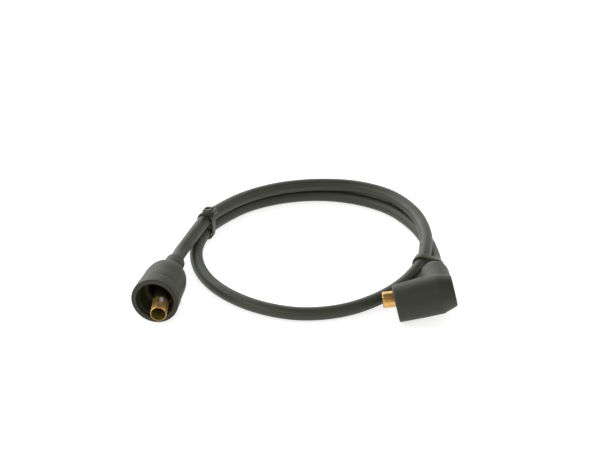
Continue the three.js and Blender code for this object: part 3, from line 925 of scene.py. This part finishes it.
class LEAD_OT_stage(bpy.types.Operator):
    """Sets the camera, the floor, the lamps and the white surroundings"""
    bl_idname = "lead.stage"
    bl_label = "Stage"

    def execute(self, context):
        settings = context.scene.lead_stage
        self.camera(context)
        self.floor(settings)
        self.lamp("key_lamp", settings.key_power, KEY_SIZE, KEY_PLACE)
        self.lamp("fill_lamp", settings.fill_power, FILL_SIZE, FILL_PLACE)
        self.world(context)
        context.scene.view_settings.view_transform = "Standard"
        return {"FINISHED"}

    def camera(self, context):
        data = bpy.data.cameras.new("camera")
        data.lens = CAMERA_LENS
        data.clip_start = 0.05
        data.clip_end = 20.0
        camera = bpy.data.objects.new("camera", data)
        context.scene.collection.objects.link(camera)
        elevation = math.radians(CAMERA_ELEVATION)
        back = Vector((0.0, -math.cos(elevation), math.sin(elevation)))
        camera.location = CAMERA_TARGET + back * CAMERA_DISTANCE
        camera.rotation_euler = (math.pi / 2 - elevation, 0.0, 0.0)
        context.scene.camera = camera

    def floor(self, settings):
        signs = [(-1, -1), (1, -1), (1, 1), (-1, 1)]
        mesh = bpy.data.meshes.new("floor")
        mesh.from_pydata(
            [(x * FLOOR_REACH, y * FLOOR_REACH, 0.0) for x, y in signs], [], [(0, 1, 2, 3)])
        mesh_object("floor", mesh, studio_floor(settings.floor_colour))

    def lamp(self, name, power, size, place):
        data = bpy.data.lights.new(name, "AREA")
        data.shape = "RECTANGLE"
        data.size, data.size_y = size
        data.energy = power
        lamp = bpy.data.objects.new(name, data)
        lamp.location = CAMERA_TARGET + place
        lamp.rotation_euler = (-place).to_track_quat("-Z", "Y").to_euler()
        bpy.context.scene.collection.objects.link(lamp)

    def world(self, context):
        """A light tent: white walls, which gloss shows too, under a dark ceiling, open towards
        the camera and brighter on its left."""
        world = bpy.data.worlds.new("surroundings")
        world.use_nodes = True
        tree = world.node_tree
        tree.nodes.clear()
        way = add(tree, "ShaderNodeTexCoord").outputs["Generated"]
        parts = add(tree, "ShaderNodeSeparateXYZ", {"Vector": way})
        slope = add(tree, "ShaderNodeMath", {
            0: parts.outputs["Y"], 1: TENT_SLANT, 2: parts.outputs["Z"],
        }, operation="MULTIPLY_ADD")
        ceiling, front, left = (
            add(tree, "ShaderNodeMapRange", {"Value": value, **change},
                interpolation_type="SMOOTHSTEP")
            for value, change in (
                (slope.outputs["Value"], TENT_CEILING),
                (parts.outputs["Y"], TENT_FRONT),
                (parts.outputs["X"], TENT_LEFT)))
        shade = add(tree, "ShaderNodeMapRange", {"Value": parts.outputs["Y"], **TENT_SHADE})
        upper = add(tree, "ShaderNodeMath", {
            0: ceiling.outputs["Result"], 1: front.outputs["Result"]}, operation="MULTIPLY")
        tent = add(tree, "ShaderNodeMath", {
            0: upper.outputs["Value"], 1: left.outputs["Result"]}, operation="MULTIPLY")
        path = add(tree, "ShaderNodeLightPath")
        soft = add(tree, "ShaderNodeBackground", {
            "Color": (1.0, 1.0, 1.0, 1.0), "Strength": shade.outputs["Result"]})
        walls = add(tree, "ShaderNodeBackground", {
            "Color": (1.0, 1.0, 1.0, 1.0), "Strength": tent.outputs["Value"]})
        white = add(tree, "ShaderNodeBackground", {"Color": (1.0, 1.0, 1.0, 1.0), "Strength": 1.0})
        around = add(tree, "ShaderNodeMixShader", {
            "Fac": mirrored_ray(tree, path), 1: soft.outputs["Background"],
            2: walls.outputs["Background"]})
        seen = add(tree, "ShaderNodeMixShader", {
            "Fac": path.outputs["Is Camera Ray"], 1: around.outputs["Shader"],
            2: white.outputs["Background"]})
        add(tree, "ShaderNodeOutputWorld", {"Surface": seen.outputs["Shader"]})
        context.scene.world = world


class LEAD_OT_cable(bpy.types.Operator):
    """Lays the cable along its route, from the straight terminal to the crimp in the elbow"""
    bl_idname = "lead.cable"
    bl_label = "Cable"

    def execute(self, context):
        settings = context.scene.lead_cable
        points = cable_points()
        mesh = grown("cable_cord", curve_through("cable_line", points), cable_tree(), {
            "Radius": settings.diameter / 2,
            "Ring spacing": settings.ring_spacing,
            "Sides": settings.sides,
            "Material": extruded_rubber(settings.colour),
        })
        cable = mesh_object("cable_cord", mesh)
        declare(cable, "cable_rubber", "cable_jacket", "cable_core")
        return {"FINISHED"}


class LEAD_OT_conductor(bpy.types.Operator):
    """Twists the bare wires that stand out of both ends of the cable"""
    bl_idname = "lead.conductor"
    bl_label = "Conductor"

    def execute(self, context):
        copper = drawn_copper()
        tree = strand_tree()
        points = cable_points()
        for name, end, inner in (
            ("strands_straight", points[0], points[1]),
            ("strands_elbow", points[-1], points[-2]),
        ):
            way = (end - inner).normalized()
            line = [end - way * STRAND_OVERLAP, end, end + way * CORE_STRIP]
            mesh = grown(name, curve_through(name, line), tree, {
                "Strands": STRAND_COUNT, "Strand radius": CORE_RADIUS / 3,
                "Lay radius": CORE_RADIUS * 2 / 3, "Pitch": STRAND_PITCH, "Material": copper})
            declare(mesh_object(name, mesh), "conductor")
        return {"FINISHED"}


class LEAD_OT_straight_boot(bpy.types.Operator):
    """Turns the straight boot: mouth with its sealing ring, body, shoulder, neck and socket"""
    bl_idname = "lead.straight_boot"
    bl_label = "Straight boot"

    def execute(self, context):
        settings = context.scene.lead_boots
        collar_start = BODY_LENGTH + SHOULDER_LENGTH
        neck_bore = CABLE_RADIUS + FIT_GAP
        socket_floor = CAVITY_DEPTH + SOCKET_DEPTH - SOCKET_TAPER
        taper = (MOUTH_RADIUS - RING_STEP - BODY_END_RADIUS) / BODY_LENGTH
        ring = MOUTH_RADIUS - taper * RING_PLACE
        seal_foot, seal_start, seal_end, seal_back = SEAL_PLACES
        corners = [
            (MOUTH_RADIUS, 0, MOUTH_EDGE),
            (ring, RING_PLACE, RING_EDGE),
            (ring - RING_STEP - GROOVE_DEPTH, RING_PLACE + RING_STEP, RING_EDGE),
            (ring - RING_STEP, RING_PLACE + GROOVE_WIDTH, GROOVE_EDGE),
            (BODY_END_RADIUS, BODY_LENGTH, 0),
            *quarter(
                BODY_END_RADIUS, BODY_LENGTH, COLLAR_RADIUS - SHOULDER_SINK, collar_start, 16),
            (COLLAR_RADIUS - COLLAR_SINK, collar_start, COLLAR_START_EDGE),
            (COLLAR_RADIUS, collar_start + COLLAR_ROOT, COLLAR_BEND),
            (COLLAR_RADIUS + COLLAR_SWELL, collar_start + COLLAR_LENGTH / 2, COLLAR_CROWN),
            (COLLAR_RADIUS, BOOT_LENGTH, COLLAR_EDGE),
            (neck_bore + NECK_FLARE, BOOT_LENGTH, INNER_EDGE),
            (neck_bore, BOOT_LENGTH - LIP_FLARE_LENGTH, LIP_BEND),
            (neck_bore, socket_floor, SOCKET_EDGE),
            (SOCKET_RADIUS, socket_floor - SOCKET_TAPER, SOCKET_BEND),
            (SOCKET_RADIUS, CAVITY_DEPTH, SOCKET_EDGE),
            (MOUTH_BORE - CAVITY_STEP, CAVITY_DEPTH, CAVITY_BEND),
            (MOUTH_BORE - SEAL_DRAFT, seal_back, SEAL_EDGE),
            (SEAL_BORE, seal_end, SEAL_EDGE),
            (SEAL_BORE, seal_start, SEAL_EDGE),
            (MOUTH_BORE, seal_foot, SEAL_EDGE),
            (MOUTH_BORE + MOUTH_FLARE, 0, INNER_EDGE),
        ]
        mesh = turned("boot_straight", rounded(corners), settings.facets)
        mark_mouth_shade(mesh)
        mesh.transform(STRAIGHT_FRAME)
        smooth(mesh, 50)
        boot = mesh_object("boot_straight", mesh, boot_rubber(settings))
        declare(boot, "boot_rubber", "straight_boot")
        return {"FINISHED"}


def mark_mouth_shade(mesh):
    """Stores how deep each point lies in the mouth of the straight boot, from 0 to 1, which sets
    the rubber's painted shade there.
    """
    values = []
    for vertex in mesh.vertices:
        x, y, z = vertex.co
        within = math.hypot(x, y) < MOUTH_BORE + FIT_GAP and z < BODY_LENGTH
        values.append(min(1.0, max(0.0, (z - MOUTH_SHADE_DEPTH) / MOUTH_SHADE_FADE)) if within else 0.0)
    mesh.attributes.new("inside", "FLOAT", "POINT").data.foreach_set("value", values)


def boot_rubber(settings):
    """The one rubber of both boots, made by the first of them."""
    return bpy.data.materials.get("Moulded EPDM rubber") or moulded_rubber(settings.colour)


class LEAD_OT_elbow_boot(bpy.types.Operator):
    """Moulds the right-angle boot: barrel, neck and bores, blended where they meet"""
    bl_idname = "lead.elbow_boot"
    bl_label = "Right-angle boot"

    def execute(self, context):
        settings = context.scene.lead_boots
        facets = settings.facets
        neck_bore = CABLE_RADIUS + FIT_GAP
        across = Matrix.Translation((0, 0, NECK_PLACE)) @ Matrix.Rotation(-math.pi / 2, 4, "X")
        barrel = turned("barrel", rounded([
            (0, 0, 0),
            (ELBOW_MOUTH_RADIUS, 0, ELBOW_MOUTH_EDGE),
            (ELBOW_WAIST_RADIUS, ELBOW_WAIST_PLACE, ELBOW_WAIST_BEND),
            (ELBOW_BACK_RADIUS, ELBOW_BACK_PLACE, ELBOW_BACK_EDGE),
            (ELBOW_END_RADIUS, ELBOW_LENGTH, ELBOW_END_EDGE),
            (0, ELBOW_LENGTH, 0),
        ]), facets)
        neck = turned("neck", rounded([
            (0, 0, 0),
            (NECK_RADIUS, 0, 0),
            (NECK_RADIUS, NECK_LENGTH - NECK_EDGE, 0),
            *quarter(NECK_RADIUS, NECK_LENGTH - NECK_EDGE, neck_bore + NECK_LIP, NECK_LENGTH, 14),
            (neck_bore + NECK_LIP, NECK_LENGTH, 0),
            (0, NECK_LENGTH, 0),
        ]), facets)
        neck.transform(across)
        bore = turned("bore", rounded([
            (0, -2 * OVERSHOOT, 0),
            (ELBOW_BORE + ELBOW_FLARE, -2 * OVERSHOOT, 0),
            (ELBOW_BORE + ELBOW_FLARE, 0, INNER_EDGE),
            (ELBOW_BORE, ELBOW_FLARE_DEPTH, ELBOW_FLARE_BEND),
            (ELBOW_BORE, ELBOW_BORE_DEPTH, ELBOW_BORE_BEND),
            (0, ELBOW_BORE_DEPTH, 0),
        ]), facets)
        hole = turned("hole", rounded([
            (0, 0, 0),
            (SLEEVE_RADIUS + FIT_GAP, 0, 0),
            (SLEEVE_RADIUS + FIT_GAP, CRIMP_DEPTH, CRIMP_BEND),
            (neck_bore, CRIMP_DEPTH + CRIMP_TAPER, CRIMP_BEND),
            (neck_bore, NECK_LENGTH - LIP_FLARE_LENGTH, LIP_BEND),
            (neck_bore + LIP_FLARE, NECK_LENGTH + OVERSHOOT, 0),
            (0, NECK_LENGTH + OVERSHOOT, 0),
        ]), facets)
        hole.transform(across)
        solid = cut(cut(barrel, [neck], "UNION"), [bore, hole])
        body = mesh_object("elbow_body", solid)
        blend = body.modifiers.new("blend", "REMESH")
        blend.mode = "VOXEL"
        blend.voxel_size = settings.voxel
        blend.use_smooth_shade = True
        relax = body.modifiers.new("relax", "SMOOTH")
        relax.factor = 0.5
        relax.iterations = 3
        mesh = baked(body, "boot_elbow")
        mesh.transform(ELBOW_FRAME)
        boot = mesh_object("boot_elbow", mesh, boot_rubber(settings))
        declare(boot, "boot_rubber", "elbow_boot")
        return {"FINISHED"}


def sleeve_rows(length, middle):
    """The (radius, height) rows of a sleeve's sheet, from its back to its turned-in front edge."""
    steps = 24
    heights = {length * i / steps for i in range(2, steps)} | {WINDOW_START, WINDOW_END}
    rows = [(middle, z) for z in (length, *sorted(heights, reverse=True))]
    return rows + [(middle - inward, z) for inward, z in TURNED_IN]


def sleeve_angles(start, sweep, window, side, wing):
    """The angles of a sleeve's columns: even ones, and others at the edges of the window and
    of the tongue in it."""
    sides = 84
    clear = side * 1.3
    even = {start + sweep * i / sides for i in range(sides + 1)}
    angles = {a for a in even if not window - clear < a < window + clear}
    angles |= {window + side * k for k in (-1.3, -1.15, -1, 1, 1.15, 1.3)}
    angles |= {window + wing * k / 3 for k in range(-3, 4)}
    return sorted(angles)


def bend_tongue(shape, roots, out, drop):
    """Bends a tongue from its roots, forward and in towards the core."""
    steps = 8
    previous = roots
    places = [root.co.copy() for root in roots]
    for step in range(1, steps + 1):
        t = step / steps
        sunk = drop * (t * t * (3 - 2 * t) * 0.35 + t * 0.65)
        row = [shape.verts.new(place - out * sunk - UP * TONGUE_RUN * t) for place in places]
        for a, b, c, d in zip(previous, previous[1:], row[1:], row):
            shape.faces.new((a, b, c, d))
        previous = row


def rolled_sleeve(length, wall, seam_turn, tongue):
    """Sheet rolled round the z axis, open along a seam, with its front edge at z = 0 turned in a
    little, and a window at its +y side, from which a tongue bends in where tongue is set."""
    middle = SLEEVE_RADIUS - wall / 2
    half_gap = SEAM_WIDTH / 2 / middle
    side = WINDOW_WIDTH / 2 / middle
    wing = TONGUE_WIDTH / 2 / middle
    start = math.radians(seam_turn) + half_gap
    window = math.radians(90 + WINDOW_TURN)
    while window - side < start:
        window += 2 * math.pi
    rows = sleeve_rows(length, middle)
    angles = sleeve_angles(start, 2 * math.pi - 2 * half_gap, window, side, wing)
    shape = bmesh.new()
    grid = [
        [shape.verts.new((r * math.cos(a), r * math.sin(a), z)) for r, z in rows] for a in angles]
    for i, (left, right) in enumerate(zip(grid, grid[1:])):
        beside = abs((angles[i] + angles[i + 1]) / 2 - window) >= side
        for j in range(len(rows) - 1):
            height = (rows[j][1] + rows[j + 1][1]) / 2
            if beside or not WINDOW_START < height < WINDOW_END:
                shape.faces.new((left[j], left[j + 1], right[j + 1], right[j]))
    if tongue:
        root_row = next(j for j, (_, z) in enumerate(rows) if abs(z - WINDOW_END) < 1e-7)
        columns = [column for column, a in zip(grid, angles) if abs(a - window) < wing * 1.01]
        roots = [column[root_row] for column in columns]
        out = Vector((math.cos(window), math.sin(window), 0))
        bend_tongue(shape, roots, out, middle - CORE_RADIUS - FIT_GAP - wall / 2)
    loose = [v for v in shape.verts if not v.link_faces]
    bmesh.ops.delete(shape, geom=loose, context="VERTS")
    return mesh_of(shape, "sleeve")


def sheet_metal(name, mesh, wall):
    """A bent sheet with its thickness and softened edges."""
    piece = mesh_object(name, mesh)
    thick = piece.modifiers.new("thick", "SOLIDIFY")
    thick.thickness = wall
    thick.offset = 0
    soften(piece, SHEET_EDGE, 2)
    result = baked(piece, name)
    smooth(result, 45)
    return result


class LEAD_OT_terminals(bpy.types.Operator):
    """Rolls the two brass sleeves, and bridges the elbow's to its crimp"""
    bl_idname = "lead.terminals"
    bl_label = "Terminals"

    def execute(self, context):
        settings = context.scene.lead_terminals
        dull = rolled_brass("Rolled brass sheet, tarnished", settings.colour, 0.25)
        bright = rolled_brass("Rolled brass sheet", settings.colour, 0.9)
        wall = settings.wall
        straight = sheet_metal(
            "terminal_straight", rolled_sleeve(SLEEVE_LENGTH, wall, STRAIGHT_SEAM_TURN, True), wall)
        self.mark_shade_and_tin(straight, STRAIGHT_REACH)
        straight.transform(STRAIGHT_SLEEVE_FRAME)
        declare(mesh_object(straight.name, straight, dull), "terminal_brass", "straight_terminal")

        sleeve = sheet_metal(
            "sleeve", rolled_sleeve(ELBOW_SLEEVE_LENGTH, wall, ELBOW_SEAM_TURN, False), wall)
        crimp = sheet_metal("crimp", self.crimp(wall), wall)
        bridge = sheet_metal("bridge", self.bridge(wall), wall)
        elbow = joined("terminal_elbow", [sleeve, crimp, bridge])
        elbow.transform(ELBOW_SLEEVE_FRAME)
        smooth(elbow, 45)
        declare(mesh_object(elbow.name, elbow, bright), "terminal_brass", "elbow_terminal")
        return {"FINISHED"}

    def mark_shade_and_tin(self, mesh, mouth):
        """Stores where a sleeve gets painted shade, olive inside it and turning dark past the
        mouth, and where its tongue is tinned."""
        painted_shade, tin = [], []
        out = Vector((0, 1, 0))
        out.rotate(Matrix.Rotation(math.radians(WINDOW_TURN), 3, "Z"))
        for vertex in mesh.vertices:
            flat = Vector((vertex.co.x, vertex.co.y, 0))
            z = vertex.co.z
            within = flat.length < SLEEVE_RADIUS - 0.3 * MM
            past = min(1.0, max(0.0, (z - mouth) / PAINTED_SHADE_FADE))
            # Painted shade: 0.5, an olive shade, inside the sleeve; past the mouth rising to 1, a
            # dark shade
            painted_shade.append(0.5 if within else past)
            beside = (flat - out * flat.dot(out)).length < TONGUE_WIDTH / 2 + 0.1 * MM
            bent = WINDOW_START < z < WINDOW_END - 0.2 * MM
            tin.append(1.0 if beside and bent and flat.dot(out) > 0 else 0.0)
        for name, values in (("painted_shade", painted_shade), ("tin", tin)):
            mesh.attributes.new(name, "FLOAT", "POINT").data.foreach_set("value", values)

    def crimp(self, wall):
        """The tube round the cable's end, across the sleeve, with its seam towards the mouth."""
        middle = SLEEVE_RADIUS - wall / 2
        shape = bmesh.new()
        gap, sides, steps = math.radians(5), 60, 8
        columns = []
        for i in range(sides + 1):
            angle = gap + (2 * math.pi - 2 * gap) * i / sides
            x, z = middle * math.sin(angle), -middle * math.cos(angle)
            columns.append([
                shape.verts.new((x, CRIMP_START + CRIMP_LENGTH * j / steps, CRIMP_PLACE + z))
                for j in range(steps + 1)])
        for left, right in zip(columns, columns[1:]):
            for j in range(steps):
                shape.faces.new((left[j], left[j + 1], right[j + 1], right[j]))
        return mesh_of(shape, "crimp")

    def bridge(self, wall):
        """The flat strip that joins the sleeve to the crimp, on the lower side."""
        x = SLEEVE_RADIUS - wall / 2
        low, high = -BRIDGE_WIDTH / 2, CRIMP_START + BRIDGE_LAP
        start = ELBOW_SLEEVE_LENGTH - BRIDGE_WIDTH / 2
        end = CRIMP_PLACE + BRIDGE_LAP
        mesh = bpy.data.meshes.new("bridge")
        corners = [
            (x, low, start), (x, -low, start), (x, high, end - BRIDGE_SLANT), (x, high, end),
            (x, low, end)]
        mesh.from_pydata(corners, [], [range(len(corners))])
        return mesh


def strap_mesh(a, b, ways, inner, width, thickness):
    """A strap in a closed belt round cable centres a and b of its own plane, its width lying
    along each cable's own way."""
    along = math.atan2(b.y - a.y, b.x - a.x)
    arc, straight = 28, 10
    stations = []
    bends = ((b, ways[1], along - math.pi / 2), (a, ways[0], along + math.pi / 2))
    for (centre, way, start), (far, far_way, _) in zip(bends, bends[::-1]):
        for i in range(arc + 1):
            angle = start + math.pi * i / arc
            normal = Vector((math.cos(angle), math.sin(angle), 0))
            stations.append((centre, normal, way))
        for i in range(1, straight):
            t = i / straight
            stations.append((centre.lerp(far, t), normal, way.lerp(far_way, t)))
    corner = thickness * 0.3
    half, deep = width / 2, thickness
    section = rounded([
        (-half, 0, corner), (half, 0, corner), (half, deep, corner), (-half, deep, corner)], 3)
    shape = bmesh.new()
    rings = []
    for centre, normal, way in stations:
        rings.append([shape.verts.new(centre + normal * (inner + d) + way * w) for w, d in section])
    skin(shape, rings)
    mesh = mesh_of(shape, "strap")
    smooth(mesh, 50)
    return mesh


def head_mesh():
    """The tie's head: a box with a round toe, a slot for the strap and the pawl in it."""
    half = HEAD_LENGTH / 2
    top = HEAD_HEIGHT / 2
    toe_top = TOE_HEIGHT - top
    outline = rounded([
        (half, top, HEAD_EDGE), (half, -top, HEAD_EDGE), (-half - TOE_LENGTH, -top, TOE_EDGES[0]),
        (-half - TOE_LENGTH, toe_top, TOE_EDGES[1]), (-half, toe_top, 0),
        (-half, top, HEAD_EDGE)], 8)
    body = extruded("head", outline[::-1], HEAD_WIDTH)
    left, right, floor = -POCKET_LENGTH / 2, POCKET_LENGTH / 2, top - POCKET_DEPTH
    pocket = extruded("pocket", rounded([
        (left, floor, POCKET_EDGE), (right, floor, POCKET_EDGE),
        (right, top + OVERSHOOT, 0), (left, top + OVERSHOOT, 0)], 3), POCKET_WIDTH)
    piece = mesh_object("head", cut(body, [pocket]))
    soften(piece, HEAD_BEVEL, 3)
    head = baked(piece, "head")
    pawl = extruded("pawl", rounded([
        (left + PAWL_FOOT[0], floor - PAWL_SINK, 0), (right - PAWL_FOOT[1], floor - PAWL_SINK, 0),
        (right - PAWL_TIP[1], top - PAWL_TOP[1], POCKET_EDGE),
        (left + PAWL_TIP[0], top - PAWL_TOP[0], POCKET_EDGE)], 3), POCKET_WIDTH - FIT_GAP)
    whole = joined("head", [head, pawl])
    smooth(whole, 40)
    return whole


class LEAD_OT_ties(bpy.types.Operator):
    """Fastens the two nylon ties round the cable's crossing runs"""
    bl_idname = "lead.ties"
    bl_label = "Cable ties"

    def execute(self, context):
        settings = context.scene.lead_ties
        nylon = moulded_nylon(settings.colour)
        self.left(settings, nylon)
        self.right(settings, nylon)
        return {"FINISHED"}

    def place(self, indices, turn, rise):
        """The tie's frame, and the two cable centres and their ways in it."""
        upper, lower = (CABLE_ROUTE[index] for index in indices)
        matrix = frame_at((upper + lower) / 2, heading(turn, rise))
        back = matrix.inverted()
        centres = [back @ upper, back @ lower]
        ways = []
        for index in indices:
            way = back.to_3x3() @ direction_at(index)
            ways.append(way if way.z > 0 else -way)
        return matrix, centres, ways

    def add_tie(self, name, node, material, matrix, meshes):
        mesh = joined(name, meshes)
        mesh.transform(matrix)
        smooth(mesh, 45)
        declare(mesh_object(name, mesh, material), "tie_nylon", node)

    def left(self, settings, material):
        matrix, (a, b), ways = self.place(
            (LEFT_TIE_UPPER, LEFT_TIE_LOWER), LEFT_TIE_TURN, LEFT_TIE_RISE)
        strap = strap_mesh(
            a - LEFT_STRAP_SHIFT, b - LEFT_STRAP_SHIFT, ways, CABLE_RADIUS + LEFT_STRAP_GAP,
            settings.strap_width, settings.strap_thickness)
        head = head_mesh()
        head.transform(Matrix.Rotation(math.radians(LEFT_HEAD_TILT), 4, "Z"))
        head.transform(Matrix.Translation(a + LEFT_HEAD_PLACE))
        self.add_tie("tie_left", "left_tie", material, matrix, [strap, head])

    def right(self, settings, material):
        matrix, (a, b), ways = self.place(
            (RIGHT_TIE_UPPER, RIGHT_TIE_LOWER), RIGHT_TIE_TURN, RIGHT_TIE_RISE)
        strap = strap_mesh(
            a, b, ways, CABLE_RADIUS + RIGHT_STRAP_GAP,
            settings.strap_width, settings.strap_thickness)
        along = math.atan2(b.y - a.y, b.x - a.x)
        drop = CABLE_RADIUS + FIT_GAP + (settings.strap_thickness + HEAD_HEIGHT) / 2
        head = head_mesh()
        head.transform(Matrix.Translation((RIGHT_HEAD_SLIDE, drop, 0)))
        head.transform(Matrix.Rotation(along, 4, "Z"))
        head.transform(Matrix.Translation(a))
        self.add_tie("tie_right", "right_tie", material, matrix, [strap, head])


class LEAD_OT_cord(bpy.types.Operator):
    """Works out points along the cable's line, from sleeve to crimp"""
    bl_idname = "lead.cord"
    bl_label = "Cord"

    def execute(self, context):
        path = points_along(cable_points(), PATH_STEPS)
        return {"FINISHED"}


class LEAD_PT_panel(bpy.types.Panel):
    """Lists the lead's settings and its pieces"""
    bl_idname = "LEAD_PT_panel"
    bl_label = "Ignition lead"
    bl_space_type = "VIEW_3D"
    bl_region_type = "UI"
    bl_category = "Lead"

    def draw(self, context):
        for group, operators in STEPS:
            box = self.layout.box()
            settings = getattr(context.scene, group)
            for name in settings.__annotations__:
                box.prop(settings, name)
            for operator in operators:
                box.operator(operator.bl_idname)


STEPS = (
    ("lead_stage", (LEAD_OT_stage,)),
    ("lead_cable", (LEAD_OT_cable, LEAD_OT_conductor)),
    ("lead_boots", (LEAD_OT_straight_boot, LEAD_OT_elbow_boot)),
    ("lead_terminals", (LEAD_OT_terminals,)),
    ("lead_ties", (LEAD_OT_ties, LEAD_OT_cord)),
)

GROUPS = (
    ("lead_stage", LeadStageSettings),
    ("lead_cable", LeadCableSettings),
    ("lead_boots", LeadBootSettings),
    ("lead_terminals", LeadTerminalSettings),
    ("lead_ties", LeadTieSettings),
)


def register():
    for name, group in GROUPS:
        bpy.utils.register_class(group)
        setattr(bpy.types.Scene, name, PointerProperty(type=group))
    for _, operators in STEPS:
        for operator in operators:
            bpy.utils.register_class(operator)
    bpy.utils.register_class(LEAD_PT_panel)


def unregister():
    bpy.utils.unregister_class(LEAD_PT_panel)
    for _, operators in reversed(STEPS):
        for operator in reversed(operators):
            bpy.utils.unregister_class(operator)
    for name, group in reversed(GROUPS):
        delattr(bpy.types.Scene, name)
        bpy.utils.unregister_class(group)


def main():
    register()
    bpy.ops.lead.stage()
    bpy.ops.lead.cable()
    bpy.ops.lead.conductor()
    bpy.ops.lead.straight_boot()
    bpy.ops.lead.elbow_boot()
    bpy.ops.lead.terminals()
    bpy.ops.lead.ties()
    bpy.ops.lead.cord()


if __name__ == "__main__":
    main()
